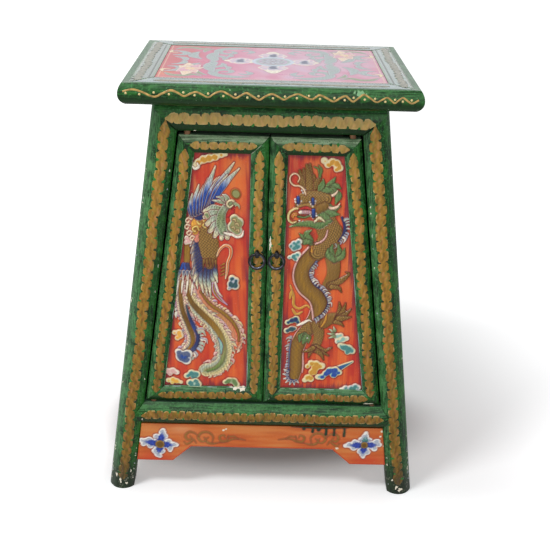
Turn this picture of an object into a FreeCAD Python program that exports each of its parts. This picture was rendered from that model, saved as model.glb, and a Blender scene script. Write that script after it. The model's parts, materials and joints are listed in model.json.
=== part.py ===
import FreeCAD, Part
import os
import re
import Sketcher

# Painted two-door cabinet on four splayed legs.
# +X is to the right of someone who faces the doors, -Y is the door side and +Z is up.
# The origin lies on the floor, under the middle of the cabinet. All sizes are in millimetres.
#
# Every upright plane of the carcass leans: the legs run outwards by "splay" in X and by "lean" in Y
# for each millimetre of height. A place on a face is therefore given by two numbers: its depth
# behind the front (or side) crown of the legs, and its height above the floor.

SIZES = {
    # Stance of the legs
    "leg_height": 592,
    "foot_half_width": 230.5,
    "shoulder_half_width": 154.7,
    "foot_half_depth": 143,
    "shoulder_half_depth": 123,
    # Section of a leg: flat inside, rounded on its two outer faces
    "leg_width": 37.5,
    "leg_depth": 34,
    "front_crown": 9,
    "side_crown": 5,
    # Table top: mitred frame with a rounded edge, and a panel in its rebate
    "top_width": 386,
    "top_depth": 312,
    "top_thickness": 28,
    "top_upper_inset": 5,
    "top_lower_inset": 9,
    "top_belly_height": 14,
    "top_band": 42,
    "rebate_width": 8,
    "top_panel_thickness": 12,
    "top_panel_seam": 0.3,
    "top_panel_drop": 0.4,
    "top_batten_width": 30,
    "top_batten_setback": 11,
    # Door opening and the rails above and below it
    "opening_low": 145,
    "top_rail_height": 41,
    "bottom_rail_height": 35,
    "rail_depth": 24,
    "rail_point": 11,
    "side_rail_depth": 22,
    "side_rail_point": 8,
    # Tenons
    "tenon_near": 12,
    "tenon_thickness": 10,
    "tenon_length": 24,
    "tenon_shoulder": 9,
    "tenon_height": 14,
    "side_tenon_near": 8,
    "side_tenon_thickness": 9,
    "side_tenon_length": 9,
    # Fixed panels, their grooves and the boards inside
    "groove_depth": 5,
    "panel_recess": 12,
    "panel_thickness": 8,
    "board_thickness": 12,
    "board_drop": 2,
    "board_clearance": 0.5,
    "cleat_width": 14,
    "cleat_height": 14,
    "shelf_height": 340,
    "shelf_setback": 36,
    "stop_depth": 10,
    "stop_height": 20,
    "stop_overlap": 11,
    "stop_pivot_clearance": 14,
    # Aprons
    "apron_recess": 7,
    "apron_thickness": 12,
    "apron_end_height": 63,
    "apron_middle_height": 38,
    "apron_corner_low": 133,
    "apron_corner_high": 107,
    "side_apron_corner_low": 62,
    "side_apron_corner_high": 36,
    # Doors
    "door_side_gap": 2.5,
    "door_top_gap": 5.5,
    "door_bottom_gap": 3.2,
    "door_centre_gap": 1.5,
    "door_recess": 5.5,
    "door_thickness": 18,
    "door_frame_width": 24,
    "door_crown": 5,
    "door_panel_recess": 7,
    "door_panel_thickness": 7,
    "stile_round": 6,
    # Pivots
    "pivot_inset": 11,
    "pivot_radius": 4,
    "pivot_in_door": 14,
    "pivot_in_rail": 8,
    "pivot_play": 0.06,
    "pivot_end_play": 0.8,
    # Ring pulls and their staples
    "ring_radius": 10.5,
    "ring_wire": 2,
    "ring_offset": 13.5,
    "ring_axis_height": 383,
    "ring_standoff": 0.5,
    "staple_wire": 1.4,
    "staple_clearance": 0.45,
    "staple_depth": 12,
    "staple_fit": 0.03,
}

doc = FreeCAD.newDocument("Cabinet")
sheet = doc.addObject("Spreadsheet::Sheet", "Sizes")
for row, (alias, size) in enumerate(SIZES.items(), 1):
    sheet.set(f"A{row}", str(size))
    sheet.setAlias(f"A{row}", alias)
doc.recompute()

ALIAS = re.compile(r"\b(" + "|".join(SIZES) + r")\b")
parts = {}


def bound(formula):
    """The formula with every size read from the sheet."""
    return ALIAS.sub(r"Sizes.\1", str(formula))


def number(formula):
    """What the formula gives with the sizes as they stand."""
    return float(sheet.evalExpression(bound(formula)))


# Flats round the hammered wire of the rings and staples
WIRE_SIDES = 8

# Oversize of a cutter or moulding past the block that it meets
MARGIN = 2

# Formulas that several pieces share

SPLAY = "((foot_half_width - shoulder_half_width) / leg_height)"
LEAN = "((foot_half_depth - shoulder_half_depth) / leg_height)"
TOTAL_HEIGHT = "(leg_height + top_thickness)"
OPENING_HIGH = "(leg_height - top_rail_height)"
RAIL_LOW = "(opening_low - bottom_rail_height)"
DOOR_LOW = "(opening_low + door_bottom_gap)"
DOOR_HIGH = f"({OPENING_HIGH} - door_top_gap)"
DOOR_BACK = "(door_recess + door_thickness)"
PIVOT_DEPTH = "(door_recess + door_thickness / 2)"
RING_DEPTH = "(door_recess - ring_standoff - ring_wire)"
STAPLE_RADIUS = "(ring_wire + staple_clearance + staple_wire)"
LEG_SLANT = f"cos(atan({SPLAY}))"


def width_at(z, inset=0):
    """Distance from the middle to a point that lies inset inside the legs' outer side."""
    return f"(foot_half_width - {SPLAY} * ({z}) - ({inset}))"


def depth_at(z, inset=0):
    """Distance from the middle to a point that lies inset behind the legs' front."""
    return f"(foot_half_depth - {LEAN} * ({z}) - ({inset}))"


def opening_at(z, inset=0):
    """Half the clear width between the legs, less inset."""
    return width_at(z, f"leg_width + {inset}")


# Sketch and feature helpers

def origin_plane(body, role):
    return next(o for o in body.Origin.OriginFeatures if o.Role == role)


def new_sketch(body, role, level=0):
    """An empty sketch on one of the body's own planes, raised by level along its normal."""
    sketch = body.newObject("Sketcher::SketchObject", "Sketch")
    sketch.AttachmentSupport = [(origin_plane(body, role), "")]
    sketch.MapMode = "FlatFace"
    sketch.setExpression("AttachmentOffset.Base.z", bound(level))
    return sketch


def add_outline(sketch, corners):
    """A closed outline. Each corner is (x, y), or (x, y, rise) where an arc of that rise follows it.

    A positive rise bulges to the left of the way from this corner to the next.
    """
    first = sketch.GeometryCount
    count = len(corners)
    points = [FreeCAD.Vector(number(c[0]), number(c[1]), 0) for c in corners]
    for i, corner in enumerate(corners):
        start, end = points[i], points[(i + 1) % count]
        if len(corner) == 3:
            chord = end - start
            left = FreeCAD.Vector(-chord.y, chord.x, 0).normalize()
            rise = number(corner[2])
            crest = (start + end) * 0.5 + left * rise
            arc = Part.Arc(end, crest, start) if rise > 0 else Part.Arc(start, crest, end)
            sketch.addGeometry(arc, False)
        else:
            sketch.addGeometry(Part.LineSegment(start, end), False)
    ends = []
    for i in range(count):
        edge = sketch.Geometry[first + i]
        forward = edge.StartPoint.distanceToPoint(points[i]) < 1e-6
        ends.append((1, 2) if forward else (2, 1))
    for i in range(count):
        j = (i + 1) % count
        join = Sketcher.Constraint("Coincident", first + i, ends[i][1], first + j, ends[j][0])
        sketch.addConstraint(join)
    for i, corner in enumerate(corners):
        for kind, place, formula in (("DistanceX", points[i].x, corner[0]),
                                     ("DistanceY", points[i].y, corner[1])):
            fixed = Sketcher.Constraint(kind, -1, 1, first + i, ends[i][0], place)
            index = sketch.addConstraint(fixed)
            sketch.setExpression(f"Constraints[{index}]", bound(formula))
        if len(corner) == 3:
            following = corners[(i + 1) % count]
            half_chord = (f"((({following[0]}) - ({corner[0]}))^2"
                          f" + (({following[1]}) - ({corner[1]}))^2) / 4")
            radius = f"({half_chord} + ({corner[2]})^2) / (2 * abs({corner[2]}))"
            index = sketch.addConstraint(Sketcher.Constraint("Radius", first + i, number(radius)))
            sketch.setExpression(f"Constraints[{index}]", bound(radius))


def add_circle(sketch, x, y, radius):
    centre = FreeCAD.Vector(number(x), number(y), 0)
    circle = sketch.addGeometry(Part.Circle(centre, FreeCAD.Vector(0, 0, 1), number(radius)), False)
    for kind, place, formula in (("DistanceX", centre.x, x), ("DistanceY", centre.y, y)):
        index = sketch.addConstraint(Sketcher.Constraint(kind, -1, 1, circle, 3, place))
        sketch.setExpression(f"Constraints[{index}]", bound(formula))
    index = sketch.addConstraint(Sketcher.Constraint("Radius", circle, number(radius)))
    sketch.setExpression(f"Constraints[{index}]", bound(radius))


def add_polygon(sketch, x, y, radius):
    """A regular outline of WIRE_SIDES sides round a point: hammered wire is never quite round."""
    turns = [(i + 0.5) * 360 / WIRE_SIDES for i in range(WIRE_SIDES)]
    add_outline(sketch, [(f"({x}) + ({radius}) * cos({turn} deg)", f"({y}) + ({radius}) * sin({turn} deg)")
                         for turn in turns])


def bar(name, role, section, length):
    """A straight moulding: a section on one plane, drawn out evenly to both sides of it."""
    body = doc.addObject("PartDesign::Body", name)
    sketch = new_sketch(body, role)
    add_outline(sketch, section)
    pad = body.newObject("PartDesign::Pad", "Moulding")
    pad.Profile = sketch
    pad.SideType = "Symmetric"
    pad.setExpression("Length", bound(length))
    return body


def post(name, section, run_x, run_y, height):
    """A raking post: a level section drawn upwards, moving by run_x and run_y for each unit of height."""
    body = doc.addObject("PartDesign::Body", name)
    sketch = new_sketch(body, "XY_Plane")
    add_outline(sketch, section)
    pad = body.newObject("PartDesign::Pad", "Post")
    pad.Profile = sketch
    pad.UseCustomVector = True
    pad.AlongSketchNormal = True
    pad.Direction = FreeCAD.Vector(number(run_x), number(run_y), 1)
    pad.setExpression("Direction.x", bound(run_x))
    pad.setExpression("Direction.y", bound(run_y))
    pad.setExpression("Length", bound(height))
    return body


def raked(x, y, z, run_x, run_y):
    """A placement at a point, whose Z axis moves by run_x and run_y for each unit of height."""
    turn = f"rotation(vector(-({run_y}); {run_x}; 0); atan(sqrt(({run_x})^2 + ({run_y})^2)))"
    return bound(f"placement(vector({x}; {y}; {z}); {turn})")


def raked_bar(name, section, x, y, run_x, run_y):
    """A long moulding square to a raking line, which stands at (x, y) on the floor."""
    body = bar(name, "XY_Plane", section, f"3 * {TOTAL_HEIGHT}")
    body.setExpression("Placement", raked(x, y, 0, run_x, run_y))
    return body


def rounded(name, block, moulding):
    """A flat-sided block with the rounded faces of a moulding."""
    common = doc.addObject("Part::Common", name)
    common.Base = block
    common.Tool = moulding
    return common


def trim(body, role, outline):
    """Saw away all that lies outside the outline, seen square to the plane."""
    reach = f"2 * {TOTAL_HEIGHT}"
    sketch = new_sketch(body, role)
    square = [(f"-{reach}", f"-{reach}"), (reach, f"-{reach}"), (reach, reach), (f"-{reach}", reach)]
    add_outline(sketch, square)
    add_outline(sketch, outline)
    pocket = body.newObject("PartDesign::Pocket", "Trim")
    pocket.Profile = sketch
    pocket.Type = "ThroughAll"
    pocket.SideType = "Symmetric"
    return body


def add_tongue(body, role, section, length):
    """A second, smaller bar on the same middle plane, which stands out at both ends as tenons."""
    sketch = new_sketch(body, role)
    add_outline(sketch, section)
    pad = body.newObject("PartDesign::Pad", "Tenons")
    pad.Profile = sketch
    pad.SideType = "Symmetric"
    pad.setExpression("Length", bound(length))
    return body


def carve(name, base, tools):
    """The base with a seat cut for every tool, as the finished piece called name."""
    shape = base
    for tool in tools:
        cut = doc.addObject("Part::Cut", "Seat")
        cut.Base = shape
        cut.Tool = tool
        shape = cut
    return finish(name, shape)


def finish(name, shape):
    shape.Label = name
    parts[name] = shape
    return shape


def mirrored_outline(right_side):
    """Corners on the right, from bottom to top, repeated on the left in the other order."""
    return right_side + [(f"-({x})", z) for x, z in reversed(right_side)]


# Front and back pieces: they run along X, and their section is drawn on the YZ plane

def front_section(face, near, far, low, high, crown):
    """face is -1 for the front and 1 for the back. Without a crown the near side is flat."""
    def y(depth, z):
        return f"{face} * {depth_at(z, depth)}"

    arc = (f"{face} * ({crown})",) if crown else ()
    edge = f"({near}) + ({crown})"
    return [(y(far, low), low), (y(far, high), high), (y(edge, high), high) + arc, (y(edge, low), low)]


def front_piece(name, face, near, far, low, high, crown, outline):
    section = front_section(face, near, far, low, high, crown)
    body = bar(name, "YZ_Plane", section, "2 * foot_half_width")
    return trim(body, "XZ_Plane", outline)


# Side pieces: they run along Y, and their section is drawn on the XZ plane

def side_piece(name, side, near, far, low, high, crown, outline):
    """side is -1 for the left and 1 for the right."""
    def x(depth, z):
        return f"{side} * {width_at(z, depth)}"

    arc = (f"{side} * ({crown})",) if crown else ()
    edge = f"({near}) + ({crown})"
    section = [(x(far, low), low), (x(far, high), high), (x(edge, high), high) + arc, (x(edge, low), low)]
    body = bar(name, "XZ_Plane", section, "2 * foot_half_depth")
    return trim(body, "YZ_Plane", outline)


def level_piece(name, low, thickness, corners):
    """A level board with upright edges."""
    body = doc.addObject("PartDesign::Body", name)
    sketch = new_sketch(body, "XY_Plane", low)
    add_outline(sketch, corners)
    pad = body.newObject("PartDesign::Pad", "Board")
    pad.Profile = sketch
    pad.setExpression("Length", bound(thickness))
    return body


def rectangle(half_x, half_y, middle_y="0"):
    return [(f"-({half_x})", f"{middle_y} - ({half_y})"), (half_x, f"{middle_y} - ({half_y})"),
            (half_x, f"{middle_y} + ({half_y})"), (f"-({half_x})", f"{middle_y} + ({half_y})")]


# Rails. The ends of the long rails are pointed or mitred into the legs, and carry tenons.
# A rail made with a flat near side that lies before the leg's crown is the cutter for its own seat.

def tenoned(body, face, low, high):
    section = front_section(face, "tenon_near", "tenon_near + tenon_thickness", low, high, 0)
    return add_tongue(body, "YZ_Plane", section, f"2 * ({opening_at(high)} + tenon_length)")


def top_rail(name, face, near=0, crown="front_crown"):
    """Its ends are mitred at 45 degrees, up to the outer edge of the legs."""
    mitre_high = f"((foot_half_width - side_crown - {opening_at(OPENING_HIGH)} + {OPENING_HIGH})" \
                 f" / (1 + {SPLAY}))"
    outline = mirrored_outline([
        (opening_at(OPENING_HIGH), OPENING_HIGH),
        (width_at(mitre_high, "side_crown"), mitre_high),
        (width_at("leg_height", "side_crown"), "leg_height"),
    ])
    body = front_piece(name, face, near, "rail_depth", OPENING_HIGH, "leg_height", crown, outline)
    low = f"({OPENING_HIGH} + tenon_shoulder)"
    return tenoned(body, face, low, f"({low} + tenon_height)")


def bottom_rail(name, face, near=0, crown="front_crown"):
    """Its ends come to a point, which lies in a notch in the face of the leg."""
    middle = "(opening_low - bottom_rail_height / 2)"
    outline = mirrored_outline([
        (opening_at(RAIL_LOW), RAIL_LOW),
        (opening_at(middle, "-rail_point"), middle),
        (opening_at("opening_low"), "opening_low"),
    ])
    body = front_piece(name, face, near, "rail_depth", RAIL_LOW, "opening_low", crown, outline)
    low = f"({RAIL_LOW} + tenon_shoulder)"
    return tenoned(body, face, low, f"({low} + tenon_height)")


def side_rail(name, side, low, high, near=0, crown="side_crown"):
    """Pointed at both ends like the bottom rails, but with a shorter point."""
    middle = f"(({low}) + ({high})) / 2"
    outline = mirrored_outline([
        (depth_at(low, "leg_depth"), low),
        (depth_at(middle, "leg_depth - side_rail_point"), middle),
        (depth_at(high, "leg_depth"), high),
    ])
    body = side_piece(name, side, near, "side_rail_depth", low, high, crown, outline)
    tenon_low = f"(({middle}) - tenon_height / 2)"
    tenon_high = f"(({middle}) + tenon_height / 2)"
    near, far = "side_tenon_near", "(side_tenon_near + side_tenon_thickness)"
    section = [(f"{side} * {width_at(z, depth)}", z) for depth, z in
               ((near, tenon_low), (far, tenon_low), (far, tenon_high), (near, tenon_high))]
    return add_tongue(body, "XZ_Plane", section, f"2 * {depth_at(tenon_high, 'leg_depth - side_tenon_length')}")


# Fixed panels. They reach into the grooves of the legs and rails around them.

def back_panel():
    low, high = "(opening_low - groove_depth)", f"({OPENING_HIGH} + groove_depth)"
    outline = mirrored_outline([
        (opening_at(low, "-groove_depth"), low),
        (opening_at(high, "-groove_depth"), high),
    ])
    return front_piece("back_panel", 1, "panel_recess", "panel_recess + panel_thickness", low, high, 0,
                       outline)


def side_panel(name, side):
    low, high = "(opening_low - groove_depth)", f"({OPENING_HIGH} + groove_depth)"
    outline = mirrored_outline([
        (depth_at(low, "leg_depth - groove_depth"), low),
        (depth_at(high, "leg_depth - groove_depth"), high),
    ])
    return side_piece(name, side, "panel_recess", "panel_recess + panel_thickness", low, high, 0, outline)


# Legs: a raking square block, rounded on its two outer faces

def arc_rise(run, rise, radius):
    """Height of an arc of this radius over a chord with this run and rise."""
    return f"({radius} - sqrt({radius}^2 - (({run})^2 + ({rise})^2) / 4))"


def crown_radius(width, crown):
    """Radius of an arc that rises by crown over width."""
    return f"((({width})^2 / 4 + ({crown})^2) / (2 * ({crown})))"


def overrun(width, crown):
    """How far behind its crest an arc lies, MARGIN outside the width that it crowns."""
    radius = crown_radius(width, crown)
    return f"({radius} - sqrt({radius}^2 - (({width}) / 2 + {MARGIN})^2))"


def leg(name, side, face):
    def corner(inset_x, inset_y):
        return (f"{side} * (foot_half_width - ({inset_x}))", f"{face} * (foot_half_depth - ({inset_y}))")

    run_x, run_y = f"{-side} * {SPLAY}", f"{-face} * {LEAN}"
    block = post(f"{name}_square", [corner(-MARGIN, -MARGIN), corner(-MARGIN, "leg_depth"),
                                    corner("leg_width", "leg_depth"), corner("leg_width", -MARGIN)],
                 run_x, run_y, "leg_height")
    width = f"((leg_width - side_crown) * {LEG_SLANT})"
    depth = "(leg_depth - front_crown)"
    front_radius, side_radius = crown_radius(width, "front_crown"), crown_radius(depth, "side_crown")
    edge_x, edge_y = f"side_crown * {LEG_SLANT}", "front_crown"
    front_far = f"({edge_x} + {width} + {MARGIN})"
    side_far = f"({edge_y} + {depth} + {MARGIN})"
    corners = [(edge_x, edge_y, side_radius), (overrun(depth, "side_crown"), side_far),
               (front_far, side_far), (front_far, overrun(width, "front_crown"), front_radius)]
    turn = side * face
    section = []
    for i, (x, y, *radius) in enumerate(corners):
        place = (f"{-side} * ({x})", f"{-face} * ({y})")
        if radius:
            next_x, next_y = corners[(i + 1) % len(corners)][:2]
            rise = arc_rise(f"({next_x}) - ({x})", f"({next_y}) - ({y})", radius[0])
            place += (f"{turn} * {rise}",)
        section.append(place)
    moulding = raked_bar(f"{name}_moulding", section, f"{side} * foot_half_width",
                         f"{face} * foot_half_depth", run_x, run_y)
    return rounded(f"{name}_block", block, moulding)


# Aprons: boards under the bottom rails, cut away in the middle with a slanted step at each end

def apron_outline(end_at, corner_low, corner_high):
    end, middle = f"({RAIL_LOW} - apron_end_height)", f"({RAIL_LOW} - apron_middle_height)"
    right = [(corner_high, middle), (corner_low, end), (end_at(end), end), (end_at(RAIL_LOW), RAIL_LOW)]
    return mirrored_outline(right)


def front_apron():
    end = f"({RAIL_LOW} - apron_end_height)"
    outline = apron_outline(opening_at, "apron_corner_low", "apron_corner_high")
    return front_piece("front_apron", -1, "apron_recess", "apron_recess + apron_thickness", end, RAIL_LOW,
                       0, outline)


def side_apron(name, side):
    end = f"({RAIL_LOW} - apron_end_height)"
    outline = apron_outline(lambda z: depth_at(z, "leg_depth"), "side_apron_corner_low",
                            "side_apron_corner_high")
    return side_piece(name, side, "apron_recess", "apron_recess + apron_thickness", end, RAIL_LOW, 0,
                      outline)


# Table top

def top_member(name, role, face, half_length, half_breadth):
    """A frame member with a rounded outer edge, a rebate for the panel, and mitred ends."""
    def place(inset, height):
        return (f"{face} * ({half_breadth} - ({inset}))", f"leg_height + {height}")

    def bulge(inset, rise):
        chord = f"sqrt(({inset})^2 + ({rise})^2)"
        radius = f"((({inset})^2 + ({rise})^2) / (2 * ({inset})))"
        return f"({radius} - sqrt({radius}^2 - {chord}^2 / 4))"

    lower = bulge("top_lower_inset", "top_belly_height")
    upper = bulge("top_upper_inset", "(top_thickness - top_belly_height)")
    floor = "top_thickness - top_panel_thickness"
    inner = "top_band + rebate_width"
    section = [
        place("top_lower_inset", 0) + (f"{-face} * {lower}",),
        place(0, "top_belly_height") + (f"{-face} * {upper}",),
        place("top_upper_inset", "top_thickness"),
        place("top_band", "top_thickness"),
        place("top_band", floor),
        place(inner, floor),
        place(inner, 0),
    ]
    body = bar(name, role, section, f"2 * ({half_length})")
    far, near = f"({half_length})", f"({half_length} - ({inner}))"
    edge, inside = f"{face} * ({half_breadth})", f"{face} * ({half_breadth} - ({inner}))"
    outline = [(f"-{far}", edge), (far, edge), (near, inside), (f"-{near}", inside)]
    if role == "XZ_Plane":
        outline = [(y, x) for x, y in outline]
    return trim(body, "XY_Plane", outline)


def top_panel():
    low = "leg_height + top_thickness - top_panel_thickness"
    corners = rectangle("top_width / 2 - top_band - top_panel_seam",
                        "top_depth / 2 - top_band - top_panel_seam")
    return level_piece("top_panel", low, "top_panel_thickness - top_panel_drop", corners)


def top_batten(name, face):
    """It crosses under the panel, from one frame member to the other, level with their underside."""
    middle = "(top_depth / 2 - top_band - rebate_width - top_batten_setback - top_batten_width / 2)"
    corners = rectangle("top_width / 2 - top_band - rebate_width", "top_batten_width / 2", f"{face} * {middle}")
    return level_piece(name, "leg_height", "top_thickness - top_panel_thickness", corners)


# Boards and battens inside

def bottom_board():
    low = "(opening_low - board_drop - board_thickness)"
    high = "(opening_low - board_drop)"
    corners = rectangle(width_at(high, "side_rail_depth + board_clearance"),
                        depth_at(high, "rail_depth + board_clearance"))
    return level_piece("bottom_board", low, "board_thickness", corners)


def shelf():
    high = "(shelf_height + board_thickness)"
    corners = rectangle(width_at(high, "panel_recess + panel_thickness + board_clearance"),
                        depth_at(high, "shelf_setback"))
    return level_piece("shelf", "shelf_height", "board_thickness", corners)


def cleat(name, side, near, high):
    """A batten on the inside of a side, between the legs, with its top at the given height."""
    low = f"({high} - cleat_height)"
    outline = mirrored_outline([(depth_at(low, "leg_depth"), low), (depth_at(high, "leg_depth"), high)])
    return side_piece(name, side, near, f"{near} + cleat_width", low, high, 0, outline)


def door_stop():
    """A strip behind the top rail, short of the pivots. The doors close against its lower half."""
    end = "door_side_gap + pivot_inset + stop_pivot_clearance"
    low = f"({OPENING_HIGH} - stop_overlap)"
    high = f"({low} + stop_height)"
    outline = mirrored_outline([(opening_at(low, end), low), (opening_at(high, end), high)])
    return front_piece("door_stop", -1, "rail_depth", "rail_depth + stop_depth", low, high, 0, outline)


# Doors: mitred frame of rounded members round a panel. The outer stile follows the leg.

def door_edge(z, inset=0):
    """Distance from the middle to a point that lies inset inside the outer edge of a door."""
    return opening_at(z, f"door_side_gap + {inset}")


def stile(name, side, outline, x, run_x, slant, rounding=0):
    """An upright of a door frame between two lines; x is its edge at floor level.

    slant is the share of its level width that is left square to it, and rounding the radius of its
    inner outside corner.
    """
    block = front_piece(f"{name}_square", -1, "door_recess", DOOR_BACK, DOOR_LOW, DOOR_HIGH, 0,
                        [(f"{side} * ({px})", z) for px, z in outline])
    width = f"(door_frame_width * {slant})"
    radius = crown_radius(width, "door_crown")
    drop = overrun(width, "door_crown")
    near, far, back = f"(-{MARGIN})", f"({width} + {MARGIN})", f"(door_thickness + {MARGIN})"
    rise = arc_rise(f"{width} + 2 * {MARGIN}", 0, radius)
    if rounding:
        outer = [(near, f"(door_thickness - {rounding} - {MARGIN})"),
                 (0, f"(door_thickness - {rounding})", f"{rounding} * (1 - sqrt(0.5))"),
                 (rounding, "door_thickness"), (rounding, back)]
    else:
        outer = [(near, back)]
    corners = [(near, drop)] + outer + [(far, back), (far, drop, rise)]
    section = [(f"{-side} * ({c[0]})", c[1]) + tuple(f"{-side} * ({r})" for r in c[2:])
               for c in corners]
    moulding = raked_bar(f"{name}_moulding", section, f"{side} * ({x})", "-(foot_half_depth - door_recess)",
                         run_x, LEAN)
    return rounded(name, block, moulding)


def outer_stile(name, side):
    low_corner, high_corner = f"({DOOR_LOW} + door_frame_width)", f"({DOOR_HIGH} - door_frame_width)"
    outline = [
        (door_edge(DOOR_LOW), DOOR_LOW), (door_edge(DOOR_HIGH), DOOR_HIGH),
        (door_edge(high_corner, "door_frame_width"), high_corner),
        (door_edge(low_corner, "door_frame_width"), low_corner),
    ]
    return stile(name, side, outline, door_edge(0), f"{-side} * {SPLAY}", LEG_SLANT, "stile_round")


def inner_stile(name, side):
    near, far = "door_centre_gap / 2", "(door_centre_gap / 2 + door_frame_width)"
    outline = [(near, DOOR_LOW), (near, DOOR_HIGH), (far, f"{DOOR_HIGH} - door_frame_width"),
               (far, f"{DOOR_LOW} + door_frame_width")]
    return stile(name, side, outline, far, 0, 1)


def door_rail(name, side, edge, inward):
    """edge is the height of the outer edge, and inward is 1 if the panel lies above it, or -1."""
    inner = f"({edge} + {inward} * door_frame_width)"
    low, high = (edge, inner) if inward > 0 else (inner, edge)
    centre = "door_centre_gap / 2"
    outline = [(centre, edge), (door_edge(edge), edge), (door_edge(inner, "door_frame_width"), inner),
               (f"{centre} + door_frame_width", inner)]
    return front_piece(name, -1, "door_recess", DOOR_BACK, low, high, "door_crown",
                       [(f"{side} * ({x})", z) for x, z in outline])


def door_panel(name, side):
    reach = "(door_frame_width - groove_depth)"
    low, high = f"({DOOR_LOW} + {reach})", f"({DOOR_HIGH} - {reach})"
    near = "(door_recess + door_panel_recess)"
    centre = f"door_centre_gap / 2 + {reach}"
    outline = [(centre, low), (door_edge(low, reach), low), (door_edge(high, reach), high), (centre, high)]
    return front_piece(name, -1, near, f"{near} + door_panel_thickness", low, high, 0,
                       [(f"{side} * ({x})", z) for x, z in outline])


# Pivots. Each door turns on two round pins in line, parallel to the leg beside it.

def pivot_cylinder(side, low, high, play=0):
    """A cylinder on the pivot line of a door, between two heights."""
    pin = doc.addObject("Part::Cylinder", "Pivot")
    stretch = f"sqrt(1 + {SPLAY}^2 + {LEAN}^2)"
    pin.setExpression("Radius", bound(f"pivot_radius + {play}"))
    pin.setExpression("Height", bound(f"({high} - ({low})) * {stretch}"))
    x = f"{side} * {door_edge(low, 'pivot_inset')}"
    y = f"-{depth_at(low, PIVOT_DEPTH)}"
    pin.setExpression("Placement", raked(x, y, low, f"{-side} * {SPLAY}", LEAN))
    return pin


def pivot_pins(name, side):
    """The lower and the upper pin, as one group of two solids."""
    lower = pivot_cylinder(side, "(opening_low - pivot_in_rail)", f"({DOOR_LOW} + pivot_in_door)")
    upper = pivot_cylinder(side, f"({DOOR_HIGH} - pivot_in_door)", f"({OPENING_HIGH} + pivot_in_rail)")
    group = doc.addObject("Part::Compound", "Pivots")
    group.Links = [lower, upper]
    return group


def pivot_sockets(side, low, high):
    """The hole for a pin, with end play in the rail and a tight seat in the door."""
    return pivot_cylinder(side, low, high, "pivot_play")


# Ring pulls. The ring hangs in a staple that is driven into the inner stile.

def ring(name, side):
    body = doc.addObject("PartDesign::Body", name)
    sketch = new_sketch(body, "XZ_Plane")
    add_polygon(sketch, "ring_radius", 0, "ring_wire")
    hoop = body.newObject("PartDesign::Revolution", "Hoop")
    hoop.Profile = sketch
    hoop.ReferenceAxis = (origin_plane(body, "Z_Axis"), [""])
    hoop.Angle = 360
    low = f"(ring_axis_height - ring_radius * cos(atan({LEAN})))"
    y = f"-{depth_at(low, RING_DEPTH)}"
    turn = f"rotation(vector(1; 0; 0); 90 deg - atan({LEAN}))"
    body.setExpression("Placement", bound(f"placement(vector({side} * ring_offset; {y}; {low}); {turn})"))
    return body


def staple_prongs(name, side, outline, radius, depth):
    """Two prongs, one above the other, which run level into the stile."""
    body = doc.addObject("PartDesign::Body", name)
    sketch = new_sketch(body, "XZ_Plane", depth_at("ring_axis_height", RING_DEPTH))
    for way in (-1, 1):
        outline(sketch, f"{side} * ring_offset", f"ring_axis_height + {way} * {STAPLE_RADIUS}", radius)
    pad = body.newObject("PartDesign::Pad", "Prongs")
    pad.Profile = sketch
    pad.Reversed = True
    pad.setExpression("Length", bound(depth))
    return body


def staple(name, side):
    """The prongs, joined by half a turn of the same wire in front of the stile."""
    body = staple_prongs(name, side, add_polygon, "staple_wire", "staple_depth")
    sketch = new_sketch(body, "XZ_Plane", depth_at("ring_axis_height", RING_DEPTH))
    add_polygon(sketch, f"{side} * ring_offset", f"ring_axis_height + {STAPLE_RADIUS}", "staple_wire")
    level = number("ring_axis_height")
    line = sketch.addGeometry(Part.LineSegment(FreeCAD.Vector(0, level, 0), FreeCAD.Vector(1, level, 0)), True)
    sketch.addConstraint(Sketcher.Constraint("Horizontal", line))
    sketch.addConstraint(Sketcher.Constraint("DistanceX", -1, 1, line, 1, 0.0))
    sketch.addConstraint(Sketcher.Constraint("DistanceX", line, 1, line, 2, 1.0))
    height = sketch.addConstraint(Sketcher.Constraint("DistanceY", -1, 1, line, 1, level))
    sketch.setExpression(f"Constraints[{height}]", bound("ring_axis_height"))
    bow = body.newObject("PartDesign::Revolution", "Bow")
    bow.Profile = sketch
    bow.ReferenceAxis = (sketch, ["Axis0"])
    bow.Angle = 180
    return body


# Assembly

SIDES = {"left": -1, "right": 1}
FACES = {"front": -1, "back": 1}

top_rails = {face: top_rail(f"{face}_top_rail_block", sign) for face, sign in FACES.items()}
bottom_rails = {face: bottom_rail(f"{face}_bottom_rail_block", sign) for face, sign in FACES.items()}
side_top_rails = {side: side_rail(f"{side}_top_rail_block", sign, OPENING_HIGH, "leg_height")
                  for side, sign in SIDES.items()}
side_bottom_rails = {side: side_rail(f"{side}_bottom_rail_block", sign, RAIL_LOW, "opening_low")
                     for side, sign in SIDES.items()}
side_panels = {side: finish(f"{side}_side_panel", side_panel(f"{side}_side_panel", sign))
               for side, sign in SIDES.items()}
back_board = finish("back_panel", back_panel())

upper_sockets = [pivot_sockets(sign, f"({DOOR_HIGH} - pivot_in_door)",
                               f"({OPENING_HIGH} + pivot_in_rail + pivot_end_play)")
                 for sign in SIDES.values()]
lower_sockets = [pivot_sockets(sign, "(opening_low - pivot_in_rail - pivot_end_play)",
                               f"({DOOR_LOW} + pivot_in_door)")
                 for sign in SIDES.values()]

front_seats = {face: [top_rail(f"{face}_top_seat", sign, "-front_crown", 0),
                      bottom_rail(f"{face}_bottom_seat", sign, "-front_crown", 0)]
               for face, sign in FACES.items()}
side_seats = {side: [side_rail(f"{side}_top_seat", sign, OPENING_HIGH, "leg_height", "-side_crown", 0),
                     side_rail(f"{side}_bottom_seat", sign, RAIL_LOW, "opening_low", "-side_crown", 0)]
              for side, sign in SIDES.items()}

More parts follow.
